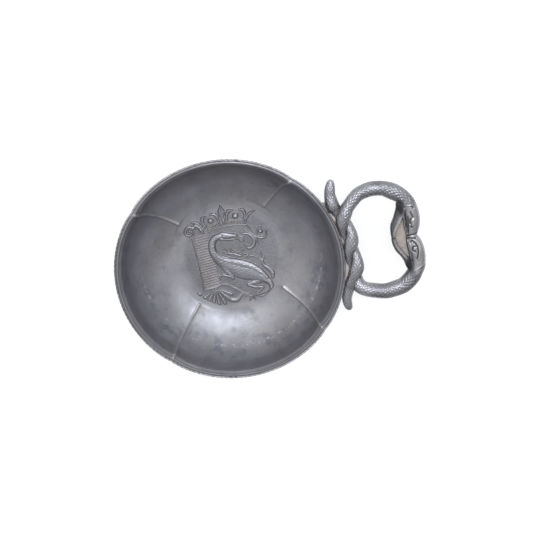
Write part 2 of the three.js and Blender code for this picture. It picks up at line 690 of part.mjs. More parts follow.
// What lies past the line where the two mouths meet.
function mouthRoom(direction) {
  const depth = SKULL_LENGTH;
  const box = new THREE.BoxGeometry(2 * JAW_GAPE + 4 * SKULL_HALF_WIDTH, depth, 4 * SKULL_HALF_WIDTH);
  box.translate(mouthX - JAW_GAPE / 2, mouthY + direction * (CLEARANCE - depth / 2), handleHeight);
  return solidOf(box);
}

function makeSnake(snake) {
  return geometryOf(rawSnake(snake, 0)
    .subtract(twistedHalf(-snake.side))
    .subtract(bowlRoom())
    .subtract(seatSolid(0, saddleNear, SOLDER_MARGIN + CLEARANCE))
    .subtract(mouthRoom(snake.direction)));
}

// The thin web that closes the two open mouths, set back from both faces of the heads.
// Its outline runs inside the skulls and jaws, short of the last keys, which overlap at the mouth line.
function makeMouthWeb() {
  const short = (keys) => keys.slice(0, -1);
  const outline = [
    ...short(skullKeys(UPPER.direction, UPPER_NECK_RADIUS)),
    ...short(skullKeys(LOWER.direction, LOWER_NECK_RADIUS)).reverse(),
    ...short(jawKeys(LOWER.direction)),
    ...short(jawKeys(UPPER.direction)).reverse(),
  ];
  const shape = new THREE.Shape(outline.map((each) => new THREE.Vector2(each.middle.x, each.middle.y)));
  const plate = new THREE.ExtrudeGeometry(shape, { depth: WEB_THICKNESS, bevelEnabled: false });
  plate.translate(0, 0, handleHeight - WEB_THICKNESS / 2);
  return geometryOf(solidOf(plate)
    .subtract(rawSnake(UPPER, CLEARANCE))
    .subtract(rawSnake(LOWER, CLEARANCE)));
}

const taster = new THREE.Group();
taster.name = 'wine_taster';
taster.add(
  piece('bowl', weld(makeBowl()), PEWTER),
  piece('rim_cord', weld(makeRimCord()), BRIGHT_PEWTER),
  piece('crest_roundel', makeRoundel(), PEWTER),
  piece('solder_bed', makeSolderBed(), SOLDER),
  piece('handle_saddle', makeSaddle(), PEWTER),
  piece('upper_snake', makeSnake(UPPER), BRIGHT_PEWTER),
  piece('lower_snake', makeSnake(LOWER), BRIGHT_PEWTER),
  piece('mouth_web', makeMouthWeb(), SOLDER),
);

export default taster;
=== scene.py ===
"""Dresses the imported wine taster: fine meshes and pewter finishes for every piece, and a studio round it.

Sizes are written in millimetres and turned into metres when a mesh is made. The frame is the part's
own: origin in the middle of the flat underside, handle along +X, +Z up.
"""
import math
from types import SimpleNamespace

import bpy
import numpy as np
from mathutils import Matrix, Vector


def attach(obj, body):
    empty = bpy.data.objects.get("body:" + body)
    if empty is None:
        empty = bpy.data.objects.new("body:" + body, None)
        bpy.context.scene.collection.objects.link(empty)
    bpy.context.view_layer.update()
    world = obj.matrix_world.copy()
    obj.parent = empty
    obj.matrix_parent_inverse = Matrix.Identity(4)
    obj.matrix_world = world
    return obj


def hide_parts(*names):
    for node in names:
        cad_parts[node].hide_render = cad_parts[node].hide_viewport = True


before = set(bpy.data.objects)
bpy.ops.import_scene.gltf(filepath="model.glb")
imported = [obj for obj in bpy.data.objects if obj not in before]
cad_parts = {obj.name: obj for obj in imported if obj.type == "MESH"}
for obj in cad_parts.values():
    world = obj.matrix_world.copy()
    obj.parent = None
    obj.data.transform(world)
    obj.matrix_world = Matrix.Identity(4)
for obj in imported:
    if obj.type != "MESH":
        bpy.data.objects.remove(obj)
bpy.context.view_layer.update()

MM = 0.001

# Bowl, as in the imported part
RIM_RADIUS = 47.5
BOWL_HEIGHT = 24.4
FLOOR_THICKNESS = 2.2
FLOOR_RADIUS = 21.0
BASE_RADIUS = 20.0
WALL_REACH = 0.943
LEDGE_WIDTH = 0.7
LIP_WIDTH = 0.75
CORD_DIAMETER = 0.9
SEAM = 0.03  # gap left between pieces that are soldered or cast together
FINE_SEAM = 0.01  # the roundel is cast in place, so its edge hardly shows
FLARE_DEPTH = 0.5  # the wall flares a little just under the lip
FLARE_LENGTH = 2.2
LIP_ROUNDING = 0.12
AXIS_GAP = 0.5  # the turned section starts and ends this far from the axis
WALL_RINGS = 110
BOWL_COLUMNS = 720
CROWDING = 0.7  # how far the columns of the bowl draw together at the ridges
CORD_SIDES = 16
CORD_COLUMNS = 2400
CORD_TURNS = 150

# Pressed ridges
RIDGE_COUNT = 4
RIDGE_HEIGHT = 1.25
RIDGE_DENT = 0.4
RIDGE_FALLOFF = 3.0
CREASE_WIDTH = 0.45  # a narrow crease runs along the crest of each ridge
CREASE_HEIGHT = 0.75
RIDGE_START_RADIUS = 25.2
RIDGE_RAMP = 1.2
DENT_RAMP = 10.0
WEAR_RING_RADIUS = 38.2

# Roundel
ROUNDEL_RADIUS = 23.3
ROUNDEL_THICKNESS = 0.9
STIPPLE_PITCH = 0.48
STIPPLE_HEIGHT = 0.11
ROUNDEL_ROWS = 441
CROWN_BEADS = 15
FLUTES = 22
SHELL_RIBS = 7

# Handle seat
SADDLE_FACE = 1.2  # from the axis of the twist in to the flat face of the saddle
SOLDER_THICKNESS = 0.45
SOLDER_MARGIN = 0.4
SADDLE_LENGTH = 40.0
SADDLE_HEIGHT = 9.2
SADDLE_DROP = 6.0
SADDLE_SHIFT = -1.0

# Snakes
HANDLE_HEIGHT = BOWL_HEIGHT - 3.4
KNOT_X = RIM_RADIUS + 2.8
KNOT_PITCH = 23.0
KNOT_SWING = 1.6  # how far a strand swings to either side of the axis of the twist
KNOT_RISE = 1.1  # and how far above and below it
KNOT_TOP = 12.4
KNOT_LAG = 25.0  # degrees by which the swing follows the rise
KNOT_WAIST = 0.9  # how far the axis bends towards the bowl under the upper loop
KNOT_WAIST_Y = 11.5
KNOT_HALF_LENGTH = 18.0
KNOT_FLARE_START = 11.0
KNOT_KEYS = 19
UPPER_FLARE = 2.3
LOWER_FLARE = 1.1
LOWER_LEAN = 1.4
STRAND_RADIUS = 2.85
CROSSING_HALF_WIDTH = 3.1  # a strand is widest where it lies on top
PASSING_HALF_WIDTH = 2.15  # and narrowest where the two lie side by side
MOUTH_Y = -1.0
MOUTH_GAP = 0.12
HEAD_X = 66.5  # the heads lie beyond this x
NAPE_X = 74.0  # and beyond this one the scales fade before the collar
CUT_WIDTH = 0.26  # lines cut into the heads
CUT_DEPTH = 0.24
BROW_WIDTH = 0.4
BROW_HEIGHT = 0.3
EYE_RADIUS = 0.55
LIP_HALF_WIDTH = 0.45
LIP_HALF_HEIGHT = 1.95
BEVEL_HALF_WIDTH = 0.35  # a narrow bar along the inner edge of the lower jaw
BEVEL_HALF_HEIGHT = 2.15
JAW_REACH = 2.4  # how far from its middle line the lower jaw is dressed
THROAT_SIZE = (1.7, 3.6)
COLLAR_WIDTH = 0.22
COLLAR_HEIGHT = 0.1
WEB_CENTRE = (72.3, -1.0)
WEB_HALF_THICKNESS = 0.95
WEB_RINGS = 40
SCALE_PITCH = 2.0  # along the snake, one lozenge
SCALE_COUNT = 12  # lozenges round the snake
SCALE_DEPTH = 0.13
ROD_STEP = 0.3
BODY_STEPS = 12
VOXEL = 0.13

# Studio
CAMERA_TARGET = (16.3, -2.6)  # x and y of the place it looks at, at the height of the rim
CAMERA_BACK = (0.0692856, 0.31777243, 0.94563216)  # direction from there to the camera
CAMERA_UP = (0.20667506, 0.92277226, -0.32523343)
CAMERA_DISTANCE = 500.0
CAMERA_LENS = 81.42
SENSOR_WIDTH = 36.0
LAMP_DISTANCE = 0.7  # metres, like the two sizes of the floor
FLOOR_HALF_SIZE = 2.0
FLOOR_DROP = 0.0002  # it lies this far below the taster
FLOOR_COLOR = 0.5
FLOOR_GLOW = 0.62
STUDIO_STRENGTH = 1.3
STUDIO_LEAN = 0.6  # how much brighter the studio is towards +Y, and darker towards -Y
# how bright the studio is at heights from the horizon (0) to straight above (1)
STUDIO_LEVELS = ((0.04, 0.3), (0.15, 0.52), (0.5, 0.62), (0.77, 0.7), (0.94, 0.8), (0.99, 0.92))

lip_outer = RIM_RADIUS - CORD_DIAMETER - SEAM
lip_inner = lip_outer - LIP_WIDTH - 0.1
ledge_height = BOWL_HEIGHT - CORD_DIAMETER - SEAM
ledge_radius = lip_outer + LEDGE_WIDTH
recess_radius = ROUNDEL_RADIUS + FINE_SEAM
recess_height = FLOOR_THICKNESS - ROUNDEL_THICKNESS - SEAM


# Number helpers

def smoothstep(value, low, high):
    share = np.clip((value - low) / (high - low), 0.0, 1.0)
    return share * share * (3.0 - 2.0 * share)


def lerp(start, end, share):
    return start + (end - start) * share


def dot(first, second):
    return np.einsum("ij,ij->i", first, second)


def unit(vectors):
    return vectors / np.linalg.norm(vectors, axis=-1, keepdims=True)


def ripple(points, wavelength, seed, waves=18):
    """Smooth irregular waves between about -1 and 1, from plane waves in seeded directions."""
    random = np.random.default_rng(seed)
    total = np.zeros(len(points))
    for _ in range(waves):
        direction = random.normal(size=3)
        direction /= np.linalg.norm(direction)
        length = wavelength * random.uniform(0.7, 1.6)
        phase = random.uniform(0.0, 2.0 * np.pi)
        total += np.sin(points @ direction * (2.0 * np.pi / length) + phase)
    return total / np.sqrt(waves)


def spline(points, steps=10):
    """A Catmull-Rom curve through points of any width, with steps samples for each span."""
    keys = np.asarray(points, dtype=float)
    padded = np.vstack([2 * keys[0] - keys[1], keys, 2 * keys[-1] - keys[-2]])
    samples = []
    for span in range(len(keys) - 1):
        before, start, end, after = padded[span:span + 4]
        for step in range(steps):
            t = step / steps
            samples.append(0.5 * (
                2 * start + (end - before) * t
                + (2 * before - 5 * start + 4 * end - after) * t ** 2
                + (3 * start - before - 3 * end + after) * t ** 3
            ))
    samples.append(keys[-1])
    return np.array(samples)


def run_along(line):
    """How far along a line each of its points lies."""
    steps = np.linalg.norm(np.diff(line, axis=0), axis=1)
    return np.concatenate([[0], np.cumsum(steps)])


def nearest_on_path(points, path):
    """For each point: its distance to a path, the nearest span of the path, and the share along that span."""
    best = np.full(len(points), np.inf)
    nearest = np.zeros(len(points), dtype=int)
    along = np.zeros(len(points))
    for span in range(len(path) - 1):
        step = path[span + 1] - path[span]
        offset = points - path[span]
        share = np.clip(offset @ step / max(step @ step, 1e-12), 0.0, 1.0)
        gap = offset - share[:, None] * step
        squared = dot(gap, gap)
        nearer = squared < best
        best[nearer] = squared[nearer]
        nearest[nearer] = span
        along[nearer] = share[nearer]
    return np.sqrt(best), nearest, along


def left_of_path(points, path):
    """The distance of points in a plane from a path, above 0 on its left and below 0 on its right."""
    gap, span, _ = nearest_on_path(points, path)
    step = path[span + 1] - path[span]
    offset = points - path[span]
    return gap * np.sign(step[:, 0] * offset[:, 1] - step[:, 1] * offset[:, 0])


# Mesh helpers

def link(item):
    bpy.context.scene.collection.objects.link(item)
    return item


def make_mesh(name, points, quads, triangles=(), crease=50.0):
    """A mesh object from points in millimetres. Edges that turn by more than the crease stay sharp."""
    mesh = bpy.data.meshes.new(name)
    mesh.from_pydata(points * MM, [], [*quads.tolist(), *np.asarray(triangles).tolist()])
    mesh.validate()
    mesh.polygons.foreach_set("use_smooth", np.ones(len(mesh.polygons), dtype=bool))
    mesh.set_sharp_from_angle(angle=math.radians(crease))
    return link(bpy.data.objects.new(name, mesh))


def grid_quads(rows, columns, wrap_rows=False, wrap_columns=False):
    """Quads over a grid of points that is stored row by row."""
    order = np.arange(rows * columns).reshape(rows, columns)
    if wrap_rows:
        order = np.vstack([order, order[:1]])
    if wrap_columns:
        order = np.hstack([order, order[:, :1]])
    corners = [order[:-1, :-1], order[:-1, 1:], order[1:, 1:], order[1:, :-1]]
    return np.stack([corner.ravel() for corner in corners], axis=1)


def grid_edge(rows, columns):
    """The points round the edge of a grid, in order."""
    order = np.arange(rows * columns).reshape(rows, columns)
    return np.concatenate([order[:-1, 0], order[-1, :-1], order[:0:-1, -1], order[0, :0:-1]])


def band(first, second):
    """Quads between two closed rings of points."""
    return np.stack([first, np.roll(first, -1), np.roll(second, -1), second], axis=1)


def fan(ring, tip):
    """Triangles between a closed ring of points and a tip."""
    return np.stack([ring, np.roll(ring, -1), np.full(len(ring), tip)], axis=1)


def read_points(piece):
    points = np.empty(len(piece.data.vertices) * 3)
    piece.data.vertices.foreach_get("co", points)
    return points.reshape(-1, 3) / MM


def read_normals(piece):
    normals = np.empty(len(piece.data.vertices) * 3)
    piece.data.vertex_normals.foreach_get("vector", normals)
    return normals.reshape(-1, 3)


def write_points(piece, points):
    piece.data.vertices.foreach_set("co", (points * MM).ravel())
    piece.data.update()


def mark(piece, **shares):
    """Stores numbers for each point, which the materials read. Points without a number get 0."""
    for name, values in shares.items():
        stored = np.zeros(len(piece.data.vertices), dtype=np.float32)
        stored[:np.size(values)] = np.ravel(values)
        piece.data.attributes.new(name, "FLOAT", "POINT").data.foreach_set("value", stored)


def join_by_voxels(name, parts):
    """Joins closed overlapping shapes into one skin."""
    with bpy.context.temp_override(active_object=parts[0], selected_editable_objects=parts):
        bpy.ops.object.join()
    source = parts[0]
    source.data.transform(Matrix.Scale(1 / MM, 4))
    remesh = source.modifiers.new("skin", "REMESH")
    remesh.mode = "VOXEL"
    remesh.voxel_size = VOXEL
    skin = bpy.data.meshes.new_from_object(source.evaluated_get(bpy.context.evaluated_depsgraph_get()))
    skin.transform(Matrix.Scale(MM, 4))
    skin.polygons.foreach_set("use_smooth", np.ones(len(skin.polygons), dtype=bool))
    skin.name = name
    bpy.data.objects.remove(source)
    return link(bpy.data.objects.new(name, skin))


# Bowl

class Wall:
    """A quarter ellipse that leaves the floor level and climbs to the rim."""

    def __init__(self, floor_radius, floor_height, top_radius, top_height):
        self.floor_radius = floor_radius
        self.floor_height = floor_height
        self.half_width = (top_radius - floor_radius) / WALL_REACH
        self.half_height = (top_height - floor_height) / (1 - math.sqrt(1 - WALL_REACH ** 2))
        self.end_angle = math.asin(WALL_REACH)

    def point(self, angle):
        radius = self.floor_radius + self.half_width * np.sin(angle)
        height = self.floor_height + self.half_height * (1 - np.cos(angle))
        return np.stack([radius, height], axis=-1)

    def normal(self, angle):
        """The unit normal on the outer side."""
        return unit(np.stack([self.half_height * np.sin(angle), -self.half_width * np.cos(angle)], axis=-1))

    def angle_at_radius(self, radius):
        return np.arcsin(np.clip((radius - self.floor_radius) / self.half_width, 0, 1))

    def angle_at_height(self, height):
        return np.arccos(np.clip(1 - (height - self.floor_height) / self.half_height, -1, 1))


inner_wall = Wall(FLOOR_RADIUS, FLOOR_THICKNESS, lip_inner, BOWL_HEIGHT)
outer_wall = Wall(BASE_RADIUS, 0.0, ledge_radius, ledge_height)


def arc_from_ridge(radius, angle):
    """How far a place lies from the nearest ridge, measured round the wall."""
    spacing = 2 * np.pi / RIDGE_COUNT
    turns = angle / spacing - 0.5
    return np.abs(turns - np.round(turns)) * spacing * radius


def crowded_angles(columns):
    """Angles round the bowl that lie closer together at the ridges."""
    even = np.arange(columns) / columns * 2 * np.pi
    from_ridge = even - np.pi / RIDGE_COUNT
    return even - CROWDING / RIDGE_COUNT * np.sin(RIDGE_COUNT * from_ridge)


def bowl_section(pressed):
    """Section of the bowl from the middle of the recess over the rim to the middle of the base.

    It is a plain section where pressed is 0, and the one through a ridge where it is 1. Returns its points
    and, for each, how broad the ridge is there: 0 for a crease, 1 for a soft fold.
    """
    angles = np.linspace(inner_wall.angle_at_radius(recess_radius), inner_wall.end_angle, WALL_RINGS)
    inside = inner_wall.point(angles)
    inward = -inner_wall.normal(angles)
    below_lip = run_along(inside[::-1])[::-1]
    flare = FLARE_DEPTH * smoothstep(below_lip, 0.2, FLARE_LENGTH)
    flare *= 1 - smoothstep(below_lip, FLARE_LENGTH, 4 * FLARE_LENGTH)
    ramp = smoothstep(inside[:, 0], RIDGE_START_RADIUS, RIDGE_START_RADIUS + RIDGE_RAMP)
    broad = smoothstep(inside[:, 1], BOWL_HEIGHT * 0.35, BOWL_HEIGHT * 0.95)
    height = lerp(CREASE_HEIGHT, RIDGE_HEIGHT, broad) * pressed * ramp
    fade = 1 - smoothstep(inside[:, 1], BOWL_HEIGHT / 2, BOWL_HEIGHT)
    push = np.stack([inward[:, 0] * height, inward[:, 1] * height * fade], axis=1)
    inside = inside + push + inward * flare[:, None]
    dent = RIDGE_DENT * pressed
    outside = outer_wall.point(np.linspace(outer_wall.end_angle, 0, WALL_RINGS))
    outside[:, 0] -= dent * smoothstep(outside[:, 0], RIDGE_START_RADIUS, RIDGE_START_RADIUS + DENT_RAMP)
    inside[-1] += (-0.02, -LIP_ROUNDING)
    lip = np.array([
        [inside[-1, 0] + LIP_ROUNDING * 0.4, BOWL_HEIGHT - LIP_ROUNDING * 0.3],
        [inside[-1, 0] + LIP_ROUNDING, BOWL_HEIGHT],
        [lip_outer - dent - LIP_ROUNDING, BOWL_HEIGHT],
        [lip_outer - dent, BOWL_HEIGHT - LIP_ROUNDING],
        [lip_outer - dent, ledge_height],
    ])
    recess = np.linspace([AXIS_GAP, recess_height], [recess_radius, recess_height], 6)
    base = np.linspace([BASE_RADIUS - 0.5, 0.0], [AXIS_GAP, 0.0], 24)
    points = np.vstack([recess, inside, lip, outside, base])
    width = np.concatenate([np.ones(len(recess)), broad, np.ones(len(lip) + len(outside) + len(base))])
    return points, width


def turn(plain, crest, width, columns):
    """Turns the plain section about Z, with the crest's at the ridges, and closes both ends on the axis."""
    angles = crowded_angles(columns)
    arc = arc_from_ridge(plain[None, :, 0], angles[:, None])
    fold = np.exp(-arc / RIDGE_FALLOFF)
    narrow = np.exp(-(arc / CREASE_WIDTH) ** 1.5)
    share = lerp(lerp(narrow, fold, 0.5), lerp(narrow, fold, 0.7), width[None])
    section = lerp(plain[None], crest[None], share[..., None])
    points = np.stack([
        section[..., 0] * np.cos(angles)[:, None],
        section[..., 0] * np.sin(angles)[:, None],
        section[..., 1],
    ], axis=-1).reshape(-1, 3)
    rows = len(plain)
    quads = grid_quads(columns, rows, wrap_rows=True)[:, ::-1]
    tips = np.array([[0, 0, plain[0, 1]], [0, 0, plain[-1, 1]]])
    ring = np.arange(columns) * rows
    top = fan(ring, len(points))
    bottom = fan(ring + rows - 1, len(points) + 1)[:, ::-1]
    return np.vstack([points, tips]), quads, np.vstack([top, bottom])


def make_bowl():
    plain, width = bowl_section(0.0)
    crest, _ = bowl_section(1.0)
    points, quads, triangles = turn(plain, crest, width, BOWL_COLUMNS)
    radius = np.hypot(points[:, 0], points[:, 1])
    free = smoothstep(radius, recess_radius, RIDGE_START_RADIUS)
    free *= 1 - smoothstep(radius, RIM_RADIUS - 3.5, RIM_RADIUS - 1.9)
    hammered = 0.06 * ripple(points, 17.0, 11) + 0.02 * ripple(points, 6.0, 12)
    points[:, 2] += hammered * free
    piece = make_mesh("bowl_fine", points, quads, triangles)
    arc = arc_from_ridge(radius, np.arctan2(points[:, 1], points[:, 0]))
    crest = np.exp(-(arc / 0.5) ** 2) * smoothstep(radius, RIDGE_START_RADIUS, RIDGE_START_RADIUS + 1)
    below = outer_wall.point(outer_wall.angle_at_radius(radius))[:, 1]
    inside = points[:, 2] > below + FLOOR_THICKNESS / 4
    mark(piece, crest=crest * inside, inside=inside)
    return piece


def make_rim_cord():
    """The cord round the lip: two plies laid round a circle that follows the dents of the rim."""
    angle = np.arange(CORD_COLUMNS) / CORD_COLUMNS * 2 * np.pi
    round_section = np.arange(CORD_SIDES) / CORD_SIDES * 2 * np.pi
    u, v = np.meshgrid(angle, round_section, indexing="ij")
    wander = 0.5 * np.sin(23 * u) + 0.4 * np.sin(61 * u + 1.0)
    groove = (1 - np.abs(np.sin(0.5 * (CORD_TURNS * u + 2 * v + wander)))) ** 1.5
    worn = (0.65 + 0.35 * np.sin(7 * u + 1.3) * np.sin(3 * u)) * (1 - 0.6 * smoothstep(np.cos(u), 0.6, 0.9))
    radius = CORD_DIAMETER / 2 * (1 - 0.5 * worn * groove)
    dent = RIDGE_DENT * np.exp(-arc_from_ridge(RIM_RADIUS, u) / RIDGE_FALLOFF)
    line = RIM_RADIUS - CORD_DIAMETER / 2 - dent
    points = np.stack([
        (line + radius * np.cos(v)) * np.cos(u),
        (line + radius * np.cos(v)) * np.sin(u),
        BOWL_HEIGHT - CORD_DIAMETER / 2 + radius * np.sin(v),
    ], axis=-1).reshape(-1, 3)
    piece = make_mesh("rim_cord_fine", points, grid_quads(CORD_COLUMNS, CORD_SIDES, True, True), crease=120.0)
    mark(piece, groove=groove * np.minimum(1.4 * worn, 1))
    return piece


# Roundel. Places are millimetres from its middle, with +Y towards the crown.

class Relief:
    """Heights over the roundel, drawn with raised strokes, balls and cut lines."""

    def __init__(self, points):
        self.points = points
        self.heights = np.zeros(len(points))

    def near_line(self, keys, spread):
        """The points near a line of (x, y, half width), and how many half widths each lies from it."""
        path = spline(keys, 8)
        reach = path[:, 2].max() * spread
        low = path[:, :2].min(axis=0) - reach
        high = path[:, :2].max(axis=0) + reach
        near = np.all((self.points > low) & (self.points < high), axis=1)
        gap, span, share = nearest_on_path(self.points[near], path[:, :2])
        return near, gap / lerp(path[span, 2], path[span + 1, 2], share)

    def stroke(self, height, *lines):
        """Raises a rounded ridge along each line."""
        for keys in lines:
            near, away = self.near_line(keys, 1)
            dome = height * np.sqrt(np.clip(1 - away ** 2, 0, 1))
            self.heights[near] = np.maximum(self.heights[near], dome)

    def carve(self, depth, keys):
        """Cuts a narrow rounded groove along a line."""
        near, away = self.near_line(keys, 2)
        self.heights[near] -= depth * np.exp(-away ** 2)

    def ball(self, x, y, radius, height):
        away = np.hypot(self.points[:, 0] - x, self.points[:, 1] - y) / radius
        self.heights = np.maximum(self.heights, height * np.sqrt(np.clip(1 - away ** 2, 0, 1)))


def spiral(x, y, outer, turns, start, width):
    """A line that winds inward from its outer end, clockwise where turns is below 0."""
    keys = []
    for share in np.linspace(0, 1, int(8 * abs(turns)) + 1):
        angle = math.radians(start + share * turns * 360)
        radius = outer * (1 - 0.85 * share)
        keys.append((x + radius * math.cos(angle), y + radius * math.sin(angle), width * (1 - 0.4 * share)))
    return keys


def draw_crown(relief):
    relief.stroke(0.5, [(-8.6, 12.1, 0.35), (-3.5, 13.1, 0.35), (2.5, 13.2, 0.35), (9.4, 12.0, 0.35)])
    relief.stroke(0.45, [(-7.8, 14.3, 0.3), (-2.8, 15.1, 0.3), (2.8, 15.2, 0.3), (8.8, 14.2, 0.3)])
    for share in np.linspace(0, 1, CROWN_BEADS):
        relief.ball(lerp(-7.9, 8.6, share), 13.05 + 1.45 * math.sin(math.pi * share), 0.55, 0.6)
    relief.stroke(0.85, [(0.2, 15.2, 0.7), (0.1, 17.6, 0.75), (0.2, 19.6, 1.6), (0.4, 22.6, 0.25)])
    relief.carve(0.3, [(0.2, 16.5, 0.22), (0.25, 19.0, 0.3), (0.35, 21.4, 0.15)])
    relief.ball(-5.0, 16.9, 1.25, 0.95)
    relief.ball(5.6, 16.8, 1.35, 0.95)
    relief.stroke(
        0.75,
        [(-1.7, 15.6, 0.5), (-1.9, 17.6, 0.6), (-2.9, 19.3, 0.75), (-4.5, 19.7, 0.4)],
        [(1.9, 15.7, 0.5), (2.1, 17.8, 0.6), (3.2, 19.4, 0.75), (4.8, 19.6, 0.4)],
        [(-7.6, 14.8, 0.5), (-8.5, 16.6, 0.6), (-8.3, 18.6, 0.75), (-7.0, 19.2, 0.35)],
        [(9.0, 14.8, 0.5), (9.8, 16.6, 0.6), (9.2, 18.6, 0.75), (7.8, 19.2, 0.35)],
        [(-8.5, 12.9, 0.5), (-9.6, 15.0, 0.6), (-10.9, 17.2, 0.75), (-13.0, 18.0, 0.3)],
        [(8.9, 12.8, 0.45), (10.1, 15.0, 0.55), (11.7, 16.6, 0.6), (14.1, 17.4, 0.3)],
    )


def draw_pilaster(relief):
    """A fluted band with a scroll over it and a small volute at its foot."""
    for share in np.linspace(0, 1, FLUTES):
        y = lerp(11.1, -12.3, share)
        left = -13.5 - 0.3 * share
        right = -7.9 - 0.9 * math.sin(math.pi * min(1.0, share * 1.6))
        middle = (lerp(left, right, 0.5), y + 0.1, 0.45)
        relief.stroke(0.42, [(left, y - 0.15, 0.4), middle, (right, y + 0.2, 0.4)])
    relief.stroke(0.85, spiral(-14.9, 13.9, 2.5, 1.3, 35, 0.75))
    relief.stroke(0.75, [(-13.3, 15.6, 0.6), (-11.6, 16.1, 0.7), (-10.2, 14.4, 0.75), (-9.4, 12.0, 0.5)])
    relief.stroke(
        0.55,
        [(-14.5, 10.6, 0.35), (-14.3, 2.0, 0.35), (-14.5, -6.0, 0.35), (-15.0, -13.6, 0.35)],
        [(-18.3, -14.6, 0.4), (-17.4, -16.2, 0.5), (-15.6, -16.4, 0.55), (-14.4, -15.4, 0.5)],
    )
    relief.stroke(
        0.5,
        [(-14.6, 17.0, 0.4), (-12.4, 17.3, 0.45), (-10.9, 15.9, 0.4), (-9.9, 13.9, 0.3)],
        [(-14.7, -13.0, 0.4), (-12.0, -12.7, 0.5), (-8.6, -12.6, 0.4)],
    )
    relief.ball(-17.2, -14.1, 1.15, 0.75)


def draw_shell(relief):
    for share in np.linspace(0, 1, SHELL_RIBS):
        angle = math.radians(lerp(212, 322, share))
        reach = 7.2 + 0.9 * math.sin(math.pi * share)
        rib = []
        for radius, width in ((1.4, 0.35), (lerp(1.4, reach, 0.6), 0.75), (reach, 0.95)):
            rib.append((-9.7 + radius * math.cos(angle), -12.6 + radius * math.sin(angle), width))
        relief.stroke(0.7, rib)
    relief.stroke(
        0.5,
        [(-5.9, -16.6, 0.6), (-4.9, -19.4, 0.9), (-2.2, -20.2, 1.0), (0.3, -18.3, 0.6)],
        [(-8.6, -12.2, 0.35), (-5.0, -12.3, 0.4), (-1.9, -14.7, 0.45), (0.9, -17.3, 0.4), (3.6, -18.7, 0.3)],
    )
    relief.stroke(0.45, [(-8.8, -12.4, 0.3), (-7.5, -15.0, 0.35), (-6.2, -17.3, 0.3)])


def draw_flames(relief):
    relief.stroke(0.6, spiral(5.6, 6.1, 1.5, -1.1, 150, 0.5))
    relief.ball(5.6, 6.0, 0.5, 0.7)
    relief.ball(14.5, 8.0, 1.0, 0.8)
    relief.stroke(
        0.62,
        [(6.8, 8.6, 0.4), (9.2, 7.8, 0.6), (10.9, 5.2, 0.8), (10.3, 2.6, 0.85), (8.2, 1.6, 0.6),
         (7.0, 2.9, 0.4)],
        [(8.2, 9.6, 0.35), (10.3, 8.0, 0.5), (11.8, 5.4, 0.6), (12.3, 3.6, 0.3)],
        [(10.0, 11.0, 0.35), (10.8, 8.3, 0.45), (12.4, 6.0, 0.55), (14.4, 4.9, 0.6), (16.3, 5.6, 0.5),
         (16.9, 7.6, 0.35)],
        [(12.6, 6.9, 0.3), (13.4, 8.9, 0.4), (14.9, 9.6, 0.4)],
        [(1.6, 2.0, 0.35), (3.6, 1.0, 0.45), (5.6, 1.2, 0.3)],
        [(4.4, -0.6, 0.35), (6.4, -0.4, 0.45), (8.2, -1.6, 0.3)],
        [(6.6, -2.0, 0.35), (8.8, -1.8, 0.45), (10.4, -3.0, 0.3)],
    )


def draw_salamander(relief):
    body = [
        (-2.2, 9.5, 1.35), (-5.2, 8.9, 1.5), (-7.0, 6.4, 1.6), (-7.1, 2.9, 1.8), (-5.2, -0.7, 2.4),
        (-1.4, -4.0, 3.4), (2.8, -6.9, 4.2), (6.9, -9.2, 3.9), (10.2, -11.7, 2.8), (12.8, -14.3, 1.6),
        (13.8, -16.9, 1.05), (12.9, -19.2, 0.95), (10.4, -20.3, 0.8), (6.6, -20.2, 0.35),
    ]
    spine = [
        (-6.6, 6.0, 0.7), (-6.3, 2.2, 0.9), (-3.4, -1.2, 1.3), (1.5, -3.4, 1.7), (6.6, -6.2, 1.8),
        (10.4, -9.4, 1.4), (12.9, -13.0, 0.8),
    ]
    relief.stroke(1.05, body)
    relief.stroke(1.15, spine)
    relief.stroke(1.0, [(-3.6, 9.5, 1.2), (-1.4, 9.5, 1.6), (1.0, 8.9, 1.25), (3.9, 8.4, 0.7)])
    relief.stroke(0.85, [(-2.6, 8.2, 0.9), (0.6, 7.4, 0.75), (3.4, 7.0, 0.5)])
    relief.carve(0.45, [(-1.4, 8.2, 0.16), (1.2, 7.9, 0.16), (3.8, 7.6, 0.14)])
    relief.ball(-1.6, 9.9, 0.55, 1.25)
    relief.stroke(
        0.8,
        [(-4.4, -4.2, 1.1), (-3.1, -6.8, 1.15), (-1.5, -9.9, 0.8), (-2.6, -9.2, 0.7), (-5.2, -7.8, 0.6),
         (-6.8, -7.9, 0.4)],
        [(9.2, -13.7, 1.3), (6.4, -14.0, 1.1), (4.2, -14.4, 0.75), (7.2, -16.1, 0.7), (10.0, -16.9, 0.7),
         (7.8, -18.3, 0.6), (5.2, -19.6, 0.5)],
        [(15.2, -13.4, 0.6), (15.5, -11.2, 0.95), (14.2, -8.9, 1.0), (12.6, -6.9, 0.75), (12.3, -4.8, 0.6)],
        [(-0.6, 1.0, 0.6), (1.6, 0.4, 0.65), (3.8, -0.9, 0.7)],
    )
    claws = (
        ((-6.4, -7.9), (-7.8, -6.9), (-8.0, -8.2), (-7.0, -9.6)),
        ((5.3, -19.6), (1.7, -19.4), (3.2, -21.6), (5.4, -21.4)),
        ((12.3, -4.8), (12.8, -1.4), (10.4, -2.6), (14.3, -3.4)),
        ((-0.5, 1.0), (-1.8, 3.6), (-3.0, 1.9), (0.5, 3.1)),
    )
    for wrist, *tips in claws:
        for tip in tips:
            middle = lerp(np.array(wrist), np.array(tip), 0.6)
            relief.stroke(0.6, [(*wrist, 0.4), (*middle, 0.38), (*tip, 0.18)])


def relief_heights(points):
    relief = Relief(points)
    for draw in (draw_pilaster, draw_shell, draw_crown, draw_flames, draw_salamander):
        draw(relief)
    return relief.heights


